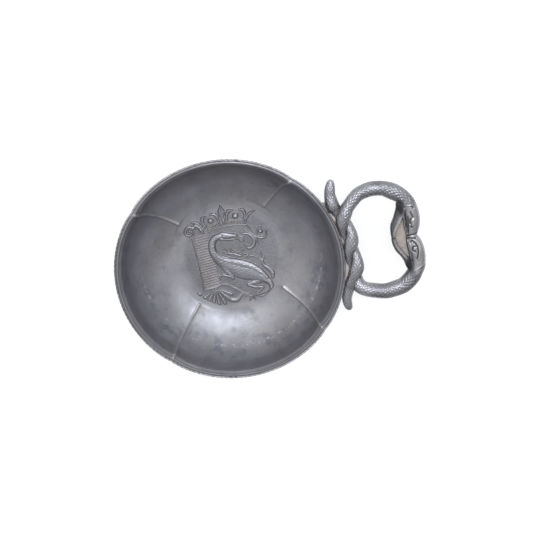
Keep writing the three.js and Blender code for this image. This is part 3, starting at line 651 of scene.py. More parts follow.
def stipple(points):
    """Small rounded grains, one in each jittered cell of a square grid."""
    random = np.random.default_rng(5)
    cells = int(2 * ROUNDEL_RADIUS / STIPPLE_PITCH) + 4
    jitter = random.uniform(0.15, 0.85, (cells, cells, 2))
    size = random.uniform(0.5, 1.0, (cells, cells))
    place = (points + ROUNDEL_RADIUS) / STIPPLE_PITCH + 1.0
    cell = np.floor(place).astype(int)
    grain = np.zeros(len(points))
    for shift in np.ndindex(3, 3):
        near = np.clip(cell + shift - 1, 0, cells - 1)
        x, y = near.T
        away = np.linalg.norm(near + jitter[x, y] - place, axis=1)
        grain = np.maximum(grain, size[x, y] * np.exp(-(away / 0.42) ** 2))
    return grain


def blur(grid, rounds):
    """Spreads a grid of heights to its neighbours, again and again."""
    for _ in range(rounds):
        grid = grid.copy()
        around = grid[:-2, 1:-1] + grid[2:, 1:-1] + grid[1:-1, :-2] + grid[1:-1, 2:]
        grid[1:-1, 1:-1] = 0.5 * grid[1:-1, 1:-1] + 0.125 * around
    return grid


def make_roundel():
    across = np.linspace(-1, 1, ROUNDEL_ROWS)
    u, v = np.meshgrid(across, across, indexing="ij")
    # a square grid drawn into the circle
    flat = ROUNDEL_RADIUS * np.stack([u * np.sqrt(1 - v ** 2 / 2), v * np.sqrt(1 - u ** 2 / 2)], axis=-1)
    flat = flat.reshape(-1, 2)
    radius = np.hypot(flat[:, 0], flat[:, 1])
    figure = relief_heights(flat)
    stippled = 1 - smoothstep(figure, 0.0, 0.15)
    stippled *= 1 - smoothstep(radius, ROUNDEL_RADIUS - 4.5, ROUNDEL_RADIUS - 0.5)
    grain = stipple(flat)
    level = np.column_stack([flat, np.zeros(len(flat))])
    height = figure + STIPPLE_HEIGHT * grain * stippled
    height += 0.04 * ripple(level, 0.5, 21) * smoothstep(figure, 0.3, 0.8) + 0.03 * ripple(level, 7.0, 22)
    height *= 1 - smoothstep(radius, ROUNDEL_RADIUS - 0.8, ROUNDEL_RADIUS - 0.2)
    height = blur(height.reshape(u.shape), 1).ravel()
    # beyond the floor's edge the roundel follows the foot of the wall
    foot = inner_wall.point(inner_wall.angle_at_radius(radius))[:, 1]
    top = np.column_stack([flat, foot + height])
    rim = grid_edge(ROUNDEL_ROWS, ROUNDEL_ROWS)
    bottom = top[rim].copy()
    bottom[:, 2] = recess_height + SEAM
    low = len(top) + np.arange(len(rim))
    points = np.vstack([top, bottom, [[0, 0, recess_height + SEAM]]])
    quads = np.vstack([grid_quads(ROUNDEL_ROWS, ROUNDEL_ROWS), band(rim, low)])[:, ::-1]
    piece = make_mesh("crest_roundel_fine", points, quads, fan(low, len(points) - 1)[:, ::-1], 75.0)
    raised = smoothstep(figure, 0.1, 0.3).reshape(u.shape)
    beside = blur(raised, 40).ravel() * (1 - smoothstep(figure, 0.05, 0.5))
    foot_line = blur(raised, 3) * (1 - blur(raised, 3)) * 4
    mark(piece, beside=beside, foot_line=foot_line, hollow=(1 - grain) * stippled)
    return piece


# Snakes

def twist_angle(y):
    return np.pi / 2 + (KNOT_TOP - y) / KNOT_PITCH * 2 * np.pi


def knot_frame(y):
    """At places along the twist: the middle between the strands, the arm from there to the upper snake,
    and how far the strands have begun to part."""
    beyond = np.maximum(0, np.abs(y) - KNOT_FLARE_START) / (KNOT_HALF_LENGTH - KNOT_FLARE_START)
    flare = np.where(y > 0, UPPER_FLARE, LOWER_FLARE) * beyond ** 2
    lean = np.where(y > 0, 0.0, LOWER_LEAN) * beyond
    angle = twist_angle(y)
    waist = KNOT_WAIST * np.exp(-((y - KNOT_WAIST_Y) / 4.0) ** 2)
    middle = np.stack([KNOT_X - lean - waist, y, np.full_like(lean, HANDLE_HEIGHT)], axis=-1)
    swing = (KNOT_SWING + flare) * np.cos(angle - math.radians(KNOT_LAG))
    arm = np.stack([swing, 0 * lean, KNOT_RISE * np.sin(angle)], axis=-1)
    return middle, arm, np.clip(beyond, 0, 1)


def strand_keys(side):
    """Keys of one strand from the lower end of the twist to the upper: x, y, z, half width, half height."""
    y = np.linspace(-KNOT_HALF_LENGTH, KNOT_HALF_LENGTH, KNOT_KEYS)
    middle, arm, beyond = knot_frame(y)
    wide = lerp(PASSING_HALF_WIDTH, CROSSING_HALF_WIDTH, np.sin(twist_angle(y)) ** 2)
    girth = np.stack([lerp(wide, STRAND_RADIUS, beyond), np.full(len(y), STRAND_RADIUS)], axis=1)
    return np.hstack([middle + side * arm, girth])


def arc_keys(centre, radius, degrees, girths, start_height):
    """Keys round the loop of the handle, at angles seen from above."""
    x = centre[0] + radius * np.cos(np.radians(degrees))
    y = centre[1] + radius * np.sin(np.radians(degrees))
    share = np.minimum(1.0, 2 * np.arange(1, len(degrees) + 1) / len(degrees))
    return np.stack([x, y, lerp(start_height, HANDLE_HEIGHT, share), girths, girths], axis=1)


def flat_keys(rows):
    """Keys in the plane of the handle, from rows of x, y, half width, half height."""
    return np.insert(np.array(rows), 2, HANDLE_HEIGHT, axis=1)


# side is 1 for the snake that starts at the lower end of the twist and -1 for the other. Rows of four are
# x, y, half width and half height, and the throat is the place in the corner of the mouth where shade is
# painted.
UPPER = SimpleNamespace(
    name="upper_snake_fine",
    side=1,
    tail=[
        (44.9, -28.0, 0.7, 1.0), (44.8, -27.3, 1.4, 1.5), (44.5, -25.6, 1.85, 1.9), (44.6, -22.5, 2.1, 2.1),
    ],
    strand_end=17.0,
    joint=[],
    loop=((63.2, 7.5), 13.6, (118, 104, 88, 70), (2.8, 2.9, 3.0, 3.05)),
    neck=[(71.56, 18.19, 3.4, 2.95), (74.7, 15.55, 3.15, 2.8)],
    skull=np.array([
        (76.6, 12.7, 2.9, 2.6), (77.15, 10.8, 2.9, 2.6), (77.35, 8.4, 3.15, 2.65), (77.3, 5.4, 3.15, 2.6),
        (76.95, 2.8, 2.95, 2.45), (76.4, 0.8, 2.6, 2.25), (76.1, -0.6, 2.4, 2.1), (75.9, -1.3, 2.35, 2.0),
    ]),
    jaw=np.array([
        (75.4, 15.8, 1.7, 1.8), (73.8, 12.8, 1.9, 2.0), (73.3, 10.6, 1.9, 2.05), (72.5, 8.6, 1.95, 2.05),
        (71.0, 6.0, 1.8, 2.0), (69.6, 3.8, 1.65, 1.95), (68.7, 1.7, 1.2, 1.9), (68.3, -0.4, 0.85, 1.85),
        (68.25, -1.3, 0.8, 1.85),
    ]),
    lip=[(74.1, 8.6), (73.8, 5.4), (73.65, 2.2), (73.8, -0.4), (74.0, -1.3)],
    cuts=(
        ((77.8, 11.2), (78.4, 10.3)),
        ((76.9, 8.8), (77.2, 7.5), (77.6, 6.4)),
        ((76.7, 6.1), (76.0, 5.2), (75.9, 4.2), (76.4, 3.5)),
        ((76.1, 2.8), (76.3, 2.1)),
        ((75.5, 6.9), (74.9, 3.3), (74.5, 0.2)),
    ),
    raised=(((77.5, 5.4), (77.3, 4.2), (76.9, 3.2)),),
    eyeball=0.12,
    eye=(76.9, 5.0),
    collar=np.array([(75.1, 11.9), (80.0, 11.1)]),
    throat=(73.1, 11.3),
)
LOWER = SimpleNamespace(
    name="lower_snake_fine",
    side=-1,
    tail=[(48.2, 28.3, 0.8, 1.0), (47.9, 27.4, 1.5, 1.6), (47.2, 25.0, 2.1, 2.1), (46.6, 22.2, 2.3, 2.3)],
    strand_end=13.0,
    joint=[(49.9, -15.3, 19.4, 2.9, 2.9), (50.6, -18.5, 20.1, 3.0, 3.0), (52.8, -20.5, 20.8, 3.0, 3.0)],
    loop=((62.3, -8.9), 14.3, (246, 262, 278), (3.05, 3.15, 3.25)),
    neck=[(68.77, -22.16, 3.35, 3.15), (72.55, -19.51, 3.35, 3.05)],
    skull=np.array([
        (75.55, -15.65, 3.2, 2.8), (76.35, -13.25, 3.1, 2.75), (76.7, -10.8, 3.2, 2.75),
        (76.6, -8.0, 3.3, 2.75), (76.3, -5.4, 3.15, 2.65), (75.95, -3.4, 2.75, 2.45), (75.8, -1.8, 2.35, 2.2),
        (75.75, -0.7, 2.2, 2.0),
    ]),
    jaw=np.array([
        (74.6, -17.0, 1.7, 1.9), (73.0, -14.2, 1.9, 2.0), (71.95, -11.2, 1.45, 2.05),
        (70.65, -8.9, 1.15, 2.0), (69.2, -6.2, 1.2, 2.0), (68.4, -3.9, 1.05, 1.95), (68.2, -2.0, 0.9, 1.9),
        (68.3, -0.7, 0.75, 1.85),
    ]),
    lip=[(73.7, -11.4), (73.5, -8.2), (73.4, -5.0), (73.55, -2.6), (74.1, -0.7)],
    cuts=(
        ((75.1, -3.3), (76.2, -4.3), (77.0, -5.9), (77.1, -7.9), (76.6, -10.0), (76.0, -11.2)),
        ((76.5, -6.1), (75.5, -5.9), (74.9, -6.7), (75.1, -7.9), (75.9, -8.4)),
        ((74.7, -3.9), (75.4, -3.2), (76.0, -4.4)),
        ((73.0, -2.0), (73.2, -5.0), (73.4, -9.0)),
        ((73.2, -2.1), (75.2, -2.2), (77.2, -2.6)),
    ),
    raised=(
        ((75.9, -2.9), (77.3, -4.4), (77.8, -6.7), (77.4, -8.8), (76.6, -11.3)),
        ((73.9, -3.4), (74.2, -5.2), (74.1, -7.7)),
    ),
    eyeball=0.4,
    eye=(75.7, -7.1),
    collar=np.array([(73.5, -16.6), (78.6, -14.3)]),
    throat=(72.6, -13.4),
)


def body_keys(snake):
    """The body from the tip of the tail through the twist and round the loop to the snout."""
    strand = strand_keys(snake.side)[::snake.side]
    strand = np.vstack([strand[strand[:, 1] * snake.side < snake.strand_end], *snake.joint])
    return np.vstack([
        flat_keys(snake.tail),
        strand,
        arc_keys(*snake.loop, strand[-1, 2]),
        flat_keys([*snake.neck, *snake.skull]),
    ])


def across_and_over(tangent):
    """The level direction across a line, and the direction that stands over it."""
    across = unit(np.cross(tangent, [0.0, 0.0, 1.0]))
    return across, unit(np.cross(across, tangent))


def rod(name, keys, sides, squareness):
    """A closed rod along keys of x, y, z, half width and half height. Squareness 2 makes it round."""
    path = spline(keys, BODY_STEPS)
    length = run_along(path[:, :3])
    stations = np.linspace(0, length[-1], int(length[-1] / ROD_STEP) + 1)
    path = np.stack([np.interp(stations, length, column) for column in path.T], axis=1)
    across, over = across_and_over(np.gradient(path[:, :3], axis=0))
    angle = np.arange(sides) / sides * 2 * np.pi
    wide, tall = (np.sign(wave) * np.abs(wave) ** (2 / squareness) for wave in (np.cos(angle), np.sin(angle)))
    points = (
        path[:, None, :3]
        + across[:, None] * (path[:, None, 3:4] * wide[None, :, None])
        + over[:, None] * (path[:, None, 4:5] * tall[None, :, None])
    ).reshape(-1, 3)
    ring = np.arange(sides)
    ends = np.vstack([
        fan(ring, len(points))[:, ::-1],
        fan(len(points) - sides + ring, len(points) + 1),
    ])
    quads = grid_quads(len(path), sides, wrap_columns=True)
    return make_mesh(name, np.vstack([points, path[[0, -1], :3]]), quads, ends)


def along_body(points, keys):
    """For each point: distance run along the body's line, and angle round it."""
    line = spline(keys, BODY_STEPS)[:, :3]
    length = run_along(line)
    _, span, share = nearest_on_path(points, line)
    offset = points - lerp(line[span], line[span + 1], share[:, None])
    tangent = np.gradient(line, axis=0)
    across, over = across_and_over(lerp(tangent[span], tangent[span + 1], share[:, None]))
    return lerp(length[span], length[span + 1], share), np.arctan2(dot(offset, over), dot(offset, across))


def lozenges(run, angle):
    """1 in the engraved lines of the scale pattern, 0 on the scales."""
    lines = np.zeros(len(run))
    for hand in (1, -1):
        phase = run / SCALE_PITCH + hand * SCALE_COUNT * angle / (2 * np.pi)
        away = np.abs(phase - np.round(phase))
        lines = np.maximum(lines, np.exp(-(away / 0.13) ** 2))
    return lines


def over_seat(y, z):
    """1 over the oval of solder, 0 beside it."""
    long = (y - SADDLE_SHIFT) / (SADDLE_LENGTH / 2 + SOLDER_MARGIN)
    high = (z - BOWL_HEIGHT + SADDLE_DROP) / (SADDLE_HEIGHT / 2 + SOLDER_MARGIN)
    return 1 - smoothstep(np.hypot(long ** 2, high), 1.0, 1.08)


def keep_off(points, side):
    """Flattens a strand against the turning plane between the strands, the bowl and the solder."""
    near_twist = (np.abs(points[:, 1]) < KNOT_HALF_LENGTH + 1.3) & (points[:, 0] < KNOT_X + 9)
    middle, arm, _ = knot_frame(points[:, 1])
    outward = side * unit(arm)
    reach = dot(points - middle, outward)
    short = near_twist & (reach < SEAM)
    points[short] += outward[short] * (SEAM - reach[short])[:, None]
    radius = np.hypot(points[:, 0], points[:, 1])
    height = np.clip(points[:, 2], 0, ledge_height)
    wall = outer_wall.point(outer_wall.angle_at_height(height))[:, 0] + SEAM
    wall += (SOLDER_THICKNESS + SEAM) * over_seat(points[:, 1], points[:, 2])
    wall = np.where(points[:, 2] > ledge_height - 0.1, RIM_RADIUS + SEAM, wall)
    points[:, :2] *= np.maximum(wall / radius, 1.0)[:, None]
    return points


def near_lines(flat, lines, width):
    """1 on any of the lines, fading to 0 over the width."""
    gaps = [nearest_on_path(flat, spline(line, 6))[0] for line in lines]
    return np.exp(-(np.min(gaps, axis=0) / width) ** 2)


def head_relief(snake, points, normals):
    """Eye, brow and lip on both faces of a head: push along the normal, where it is dark with cut lines and
    painted shade, and where it is polished and painted with highlights.
    """
    facing = smoothstep(np.abs(normals[:, 2]), 0.25, 0.7)
    flat = points[:, :2]
    cuts = near_lines(flat, snake.cuts, CUT_WIDTH)
    away = np.hypot(*(flat - snake.eye).T)
    eyeball = np.exp(-(away / EYE_RADIUS) ** 4)
    brow = BROW_HEIGHT * near_lines(flat, snake.raised, BROW_WIDTH)
    push = brow - CUT_DEPTH * cuts + snake.eyeball * eyeball
    dark = 0.85 * cuts * (1 - eyeball)
    # painted shade darkens the outer half of the lower jaw, up to a crease along its middle
    left = left_of_path(flat, spline(snake.jaw[1:, :2], 8))
    beside_skull = flat[:, 0] < snake.skull[2, 0] - snake.skull[2, 2]
    outer = smoothstep(-snake.side * left, -0.35, 0.15) * (np.abs(left) < JAW_REACH) * beside_skull
    dark = np.maximum(dark, 0.6 * outer)
    # painted shade along the mouth, under the upper snout
    if snake is UPPER:
        dark = np.maximum(dark, 0.8 * np.exp(-((points[:, 1] - MOUTH_Y) / 0.55) ** 2))
    x, y = np.array(sorted(snake.lip, key=lambda place: place[1])).T
    on_skull = smoothstep(flat[:, 0] - np.interp(flat[:, 1], y, x), 0.6, 1.1)
    bevel = np.column_stack([snake.jaw[2:, 0] + snake.jaw[2:, 2] - 2 * BEVEL_HALF_WIDTH, snake.jaw[2:, 1]])
    # painted highlights along the raised brows and the bevel of the lower jaw; the skull beyond the lip is
    # lighter, partly polished and partly a painted highlight
    painted_highlight = np.maximum(near_lines(flat, snake.raised, 0.7), 0.75 * near_lines(flat, [bevel], 0.75))
    polish = np.maximum(0.4 * on_skull, painted_highlight)
    return push * facing, dark * facing, polish * (1 - cuts) * facing


def past_collar(snake, points):
    """How far beyond the line across the neck a point lies, on the side of the head."""
    step = unit(snake.collar[1] - snake.collar[0])
    offset = points[:, :2] - snake.collar[0]
    return (step[1] * offset[:, 0] - step[0] * offset[:, 1]) * snake.side


def on_head(snake, points):
    """1 past the collar, where the scales stop, and 0 on the body."""
    past = past_collar(snake, points)
    gap, _, _ = nearest_on_path(points[:, :2], spline(snake.jaw[:, :2], 8))
    under = smoothstep(JAW_REACH - gap, 0, 0.5) * smoothstep(past, -3.0, -1.5)
    return np.maximum(smoothstep(past, -0.15, 0.15), under) * (points[:, 0] > HEAD_X)


def make_snake(snake):
    keys = body_keys(snake)
    bevel = flat_keys(snake.jaw[2:])
    bevel[:, 0] += bevel[:, 3] - BEVEL_HALF_WIDTH
    bevel[:, 3:] = (BEVEL_HALF_WIDTH, BEVEL_HALF_HEIGHT)
    lip = flat_keys([(x, y, LIP_HALF_WIDTH, LIP_HALF_HEIGHT) for x, y in snake.lip])
    piece = join_by_voxels(snake.name, [
        rod("body", keys, 64, 2.15),
        rod("jaw", flat_keys(snake.jaw), 48, 2.5),
        rod("lip", lip, 24, 3.0),
        rod("bevel", bevel, 24, 3.0),
    ])
    points = read_points(piece)
    normals = read_normals(piece)
    head = on_head(snake, points)
    front = smoothstep(head, 0.5, 1.0)
    past = past_collar(snake, points)
    run, angle = along_body(points, keys)
    scales = (1 - head) * smoothstep(run, 0.4, 2.0)
    scales *= 1 - 0.7 * smoothstep(past, -1.0, -0.2) * (points[:, 0] > NAPE_X)
    scales *= 0.4 + 0.6 * smoothstep(ripple(points, 6.0, 33), -1.0, 0.3)
    groove = lozenges(run, angle) * scales
    relief, dark, polish = head_relief(snake, points, normals)
    collar = np.exp(-(past / COLLAR_WIDTH) ** 2) * smoothstep(points[:, 0] - snake.collar[0, 0], -0.3, 0.4)
    push = relief * front - SCALE_DEPTH * groove + COLLAR_HEIGHT * collar
    push += 0.03 * ripple(points, 5.0, 31) + 0.012 * ripple(points, 1.4, 32)
    # painted shade, darkest in the throat, and on the faces of the heads that look towards -X
    throat = np.hypot(*((points[:, :2] - snake.throat) / THROAT_SIZE).T)
    shade = np.maximum(np.exp(-throat ** 4), 0.8 * smoothstep(-normals[:, 0], 0.35, 0.9) * head)
    shade = np.maximum(shade, dark * front)
    points = keep_off(points + normals * push[:, None], snake.side)
    # both heads end in flat faces at the mouth
    from_mouth = (points[:, 1] - MOUTH_Y) * snake.side
    at_mouth = (np.abs(from_mouth) < 3.0) & (from_mouth < MOUTH_GAP) & (points[:, 0] > HEAD_X)
    points[at_mouth, 1] = MOUTH_Y + MOUTH_GAP * snake.side
    write_points(piece, points)
    mark(piece, groove=groove, polish=polish * front * (1 - shade), patina=shade)
    return piece


# Handle seat and mouth web

def seat_grid(margin, rows, columns):
    """Places over the oval seat: how high each lies across it (-1 to 1), with its y and z."""
    u, v = np.meshgrid(np.linspace(-1, 1, columns), np.linspace(-1, 1, rows), indexing="ij")
    y = SADDLE_SHIFT + (SADDLE_LENGTH / 2 + margin) * u
    half_height = (SADDLE_HEIGHT / 2 + margin) * np.sqrt(np.clip(1 - u ** 4, 0.0004, 1))
    return v, y, BOWL_HEIGHT - SADDLE_DROP + half_height * v


def off_wall(y, z, distance):
    """The place at a distance outside the bowl's wall, for a y and z on the wall."""
    angle = outer_wall.angle_at_height(z)
    place = outer_wall.point(angle) + outer_wall.normal(angle) * np.asarray(distance)[..., None]
    return np.stack([np.sqrt(place[..., 0] ** 2 - y ** 2), y, place[..., 1]], axis=-1)


def closed_plate(name, near, far):
    """A closed mesh between two grids of points that face each other."""
    count = near[..., 0].size
    quads = grid_quads(*near.shape[:2])
    rim = grid_edge(*near.shape[:2])
    points = np.vstack([near.reshape(-1, 3), far.reshape(-1, 3)])
    return make_mesh(name, points, np.vstack([quads, quads[:, ::-1] + count, band(rim, rim + count)]))


def make_solder_bed():
    """A thin oval layer on the wall, a little uneven."""
    v, y, z = seat_grid(SOLDER_MARGIN, rows=40, columns=220)
    near = off_wall(y, z, SEAM)
    uneven = 0.05 * ripple(near.reshape(-1, 3), 5.0, 51).reshape(v.shape)
    thickness = (SOLDER_THICKNESS + uneven) * np.sqrt(1 - v ** 6)
    return closed_plate("solder_bed_fine", near, off_wall(y, z, SEAM + thickness))


def strand_backs(y, z):
    """For each place of the saddle, the x at which the nearer strand starts."""
    back = np.full(y.shape, np.inf)
    for snake in (UPPER, LOWER):
        for x_middle, y_middle, z_middle, radius, _ in spline(body_keys(snake), 6):
            inside = (radius + SEAM) ** 2 - (y - y_middle) ** 2 - (z - z_middle) ** 2
            reach = np.sqrt(np.maximum(inside, 0))
            back = np.where((inside > 0) & (x_middle < KNOT_X + 4), np.minimum(back, x_middle - reach), back)
    return back


def make_saddle():
    """Fills the room between the round wall and a flat face, with the strands bedded in it."""
    v, y, z = seat_grid(0.0, rows=60, columns=300)
    near = off_wall(y, z, 2 * SEAM + SOLDER_THICKNESS)
    x = near[..., 0]
    face = KNOT_X - SADDLE_FACE + 0.06 * ripple(near.reshape(-1, 3), 4.0, 52).reshape(v.shape)
    face = lerp(x, np.maximum(face, x), np.sqrt(1 - v ** 10))
    face = np.maximum(np.minimum(face, strand_backs(y, z)), x + 0.02)
    return closed_plate("handle_saddle_fine", near, np.stack([face, y, z], axis=-1))


def make_web():
    """The web between the open jaws: a plate whose edge runs inside the skulls and jaws."""
    outline = np.vstack([UPPER.skull[1:-2], LOWER.skull[-3:0:-1], LOWER.jaw[:-2], UPPER.jaw[-3::-1]])[:, :2]
    edge = spline(np.vstack([outline, outline[:1]]), 10)[:-1]
    share = np.linspace(0.02, 1, WEB_RINGS)[:, None, None]
    flat = lerp(np.array(WEB_CENTRE), edge[None], share).reshape(-1, 2)
    level = np.column_stack([flat, np.zeros(len(flat))])
    bumps = 0.06 * ripple(level, 2.2, 41) + 0.03 * ripple(level, 0.7, 42)
    sheets = []
    for face in (1, -1):
        sheets.append(np.column_stack([flat, HANDLE_HEIGHT + face * (WEB_HALF_THICKNESS + bumps)]))
    tips = [(*WEB_CENTRE, HANDLE_HEIGHT + face * WEB_HALF_THICKNESS) for face in (1, -1)]
    count = len(flat)
    ring = np.arange(len(edge))
    rim = count - len(edge) + ring
    sheet = grid_quads(WEB_RINGS, len(edge), wrap_columns=True)
    quads = np.vstack([sheet, sheet[:, ::-1] + count, band(rim, count + rim)[:, ::-1]])
    middles = np.vstack([fan(ring, 2 * count)[:, ::-1], fan(count + ring, 2 * count + 1)])
    return make_mesh("mouth_web_fine", np.vstack([*sheets, tips]), quads, middles)


# Materials

class Look:
    """A node tree in the making, with short calls for its nodes and the colour painted so far."""

    def __init__(self, owner, output="ShaderNodeOutputMaterial"):
        owner.use_nodes = True
        self.owner = owner
        self.tree = owner.node_tree
        self.tree.nodes.clear()
        self.output = self.add(output)
        self.color = None

    def add(self, kind, inputs=None, **settings):
        node = self.tree.nodes.new(kind)
        for key, value in settings.items():
            setattr(node, key, value)
        for key, value in (inputs or {}).items():
            if isinstance(value, bpy.types.NodeSocket):
                self.tree.links.new(value, node.inputs[key])
            else:
                node.inputs[key].default_value = value
        return node

    def show(self, shader):
        self.tree.links.new(shader.outputs[0], self.output.inputs["Surface"])

    def place(self):
        return self.add("ShaderNodeTexCoord").outputs["Object"]

    def attribute(self, name):
        return self.add("ShaderNodeAttribute", attribute_name=name).outputs["Fac"]

    def ramp(self, value, low, high, from_value=0.0, to_value=1.0):
        return self.add("ShaderNodeMapRange", {
            "Value": value, "From Min": low, "From Max": high, "To Min": from_value, "To Max": to_value,
        }, interpolation_type="SMOOTHSTEP").outputs["Result"]

    def blend(self, share, start, end):
        return self.ramp(share, 0.0, 1.0, start, end)

    def noise(self, scale, detail=4.0, roughness=0.55, vector=None):
        inputs = {"Vector": vector or self.place(), "Scale": scale, "Detail": detail, "Roughness": roughness}
        return self.add("ShaderNodeTexNoise", inputs).outputs["Fac"]

    def patches(self, scale, detail, low, high, from_value=0.0, to_value=1.0, roughness=0.55):
        """Noise that is cut off below low and above high."""
        return self.ramp(self.noise(scale, detail, roughness), low, high, from_value, to_value)

    def crevice(self, distance, low, high):
        """1 deep in a crevice, 0 in the open."""
        shade = self.add("ShaderNodeAmbientOcclusion", {"Distance": distance * MM}, samples=8)
        return self.ramp(shade.outputs["AO"], low, high, 1.0, 0.0)

    def math(self, operation, first, second=0.0):
        return self.add("ShaderNodeMath", {0: first, 1: second}, operation=operation).outputs[0]

    def times(self, product, *factors):
        for factor in factors:
            product = self.math("MULTIPLY", product, factor)
        return product

    def mix(self, share, first, second):
        node = self.add("ShaderNodeMix", {"Factor": share, "A": first, "B": second}, data_type="RGBA")
        return node.outputs["Result"]

    def tint(self, color, *shares):
        """Paints a colour over the one so far, by the product of the shares."""
        self.color = self.mix(self.times(*shares), self.color, color)

    def finish(self, metal, roughness, height, relief):
        """Adds the shader; relief is how high the bumps stand, in millimetres. Returns the material."""
        bump = self.add("ShaderNodeBump", {"Strength": 0.6, "Distance": relief * MM, "Height": height})
        self.show(self.add("ShaderNodeBsdfPrincipled", {
            "Base Color": self.color,
            "Metallic": metal,
            "Roughness": roughness,
            "Normal": bump.outputs["Normal"],
        }))
        return self.owner


def start_material(name):
    return Look(bpy.data.materials.new(name))


def tone(level, red=0.99, green=1.0, blue=1.09):
    """A grey of the given level, faintly blue unless told otherwise."""
    return (level * red, level * green, level * blue, 1.0)


def neutral(level):
    return tone(level, 1.0, 1.0, 1.0)


def beige(level):
    """The colour of dried polishing paste at the given level."""
    return tone(level, 1.0, 0.875, 0.8)


def clouded(look, level, depth, scale=90.0):
    """Pewter grey that drifts between a darker and a lighter tone. Returns the drift."""
    cloud = look.patches(scale, 5.0, 0.3, 0.7, roughness=0.6)
    look.color = look.mix(cloud, tone(level * (1 - depth)), tone(level * (1 + depth)))
    look.tint(tone(level * 0.75), look.patches(1100.0, 3.0, 0.3, 0.7, 0.0, 0.3))
    return cloud


def from_axis(look):
    """Distance from the bowl's axis, and the coordinates it was worked out from."""
    x, y, z = look.add("ShaderNodeSeparateXYZ", {0: look.place()}).outputs
    squares = look.math("ADD", look.times(x, x), look.times(y, y))
    return look.math("SQRT", squares), x, y, z


def worn_pewter(look):
    """The stained grey of the bowl, which runs on over the roundel's plain edge. Returns its roughness."""
    cloud = clouded(look, 0.31, 0.13)
    look.tint(beige(0.33), look.patches(36.0, 2.0, 0.45, 0.62, 0.0, 0.22))
    look.tint((0.175, 0.185, 0.215, 1.0), look.patches(130.0, 4.0, 0.54, 0.74, 0.0, 0.65, 0.6))
    look.tint(tone(0.12), look.patches(420.0, 4.0, 0.64, 0.76, 0.0, 0.5, 0.6))
    return look.blend(cloud, 0.41, 0.32)


def bowl_material():
    look = start_material("bowl_pewter")
    roughness = worn_pewter(look)
    radius, x, y, z = from_axis(look)
    around = look.add("ShaderNodeCombineXYZ", {
        0: look.times(look.math("DIVIDE", x, radius), 2.2),
        1: look.times(look.math("DIVIDE", y, radius), 2.2),
        2: look.times(radius, 1500.0),
    }).outputs[0]
    # a ring of light wear marks on the near wall, with stains along it, where a smaller bowl has stood
    off_ring = look.math("ABSOLUTE", look.math("SUBTRACT", radius, WEAR_RING_RADIUS * MM))
    near_side = look.times(look.ramp(y, -18 * MM, 12 * MM, 1.0, 0.0), look.attribute("inside"))
    soiled = look.ramp(off_ring, 1.5 * MM, 6 * MM, 0.6, 0.0)
    blotch = look.patches(210.0, 3.0, 0.48, 0.66, roughness=0.5)
    look.tint((0.165, 0.18, 0.225, 1.0), soiled, near_side, blotch)
    ring = look.ramp(off_ring, 0.1 * MM, 0.8 * MM, 0.8, 0.0)
    scuff = look.patches(650.0, 4.0, 0.5, 0.62, roughness=0.6)
    wear = look.times(ring, scuff, look.patches(75.0, 2.0, 0.4, 0.52), near_side)
    look.tint((0.5, 0.49, 0.49, 1.0), wear)
    # a painted highlight along the crests of the ridges, broken into patches
    crest_highlight_patches = look.patches(300.0, 4.0, 0.3, 0.6, 0.6, 1.0)
    look.tint(tone(0.62, 1.0, 0.98, 0.98), look.attribute("crest"), crest_highlight_patches)
    look.tint(tone(0.42), look.ramp(look.noise(1.0, 4.0, 0.6, around), 0.6, 0.75, 0.0, 0.3))
    look.tint((0.26, 0.14, 0.08, 1.0), look.patches(480.0, 4.0, 0.72, 0.8, 0.0, 0.8, 0.6))
    crevice = look.crevice(0.9, 0.45, 0.8)
    look.tint(beige(0.30), crevice, 0.8)
    # painted shade on the flat top of the lip
    look.tint(tone(0.16), look.ramp(z, (BOWL_HEIGHT - 0.35) * MM, (BOWL_HEIGHT - 0.1) * MM, 0.0, 0.4))
    metal = look.blend(look.math("MAXIMUM", crevice, wear), 0.9, 0.4)
    height = look.math("ADD", look.noise(1.0, 3.0, 0.5, around), look.noise(800.0, 4.0, 0.6))
    return look.finish(metal, roughness, height, 0.05)


def cord_material():
    look = start_material("cord_pewter")
    cloud = clouded(look, 0.2, 0.3, 160.0)
    _, _, y, _ = from_axis(look)
    # the cord is lighter towards +Y and -Y, less so near the handle and across from it
    look.tint(tone(0.6), look.ramp(look.math("ABSOLUTE", y), 14 * MM, 40 * MM, 0.0, 0.55))
    groove = look.ramp(look.attribute("groove"), 0.3, 0.9, 0.0, 0.85)
    look.tint(tone(0.05), groove, look.patches(420.0, 3.0, 0.38, 0.55, 0.35, 1.0))
    look.tint(beige(0.3), look.patches(700.0, 3.0, 0.5, 0.7, 0.0, 0.45))
    look.tint(tone(0.05), look.patches(1300.0, 2.0, 0.58, 0.66, 0.0, 0.8))
    return look.finish(0.4, look.blend(cloud, 0.55, 0.45), look.noise(1500.0, 4.0, 0.6), 0.08)


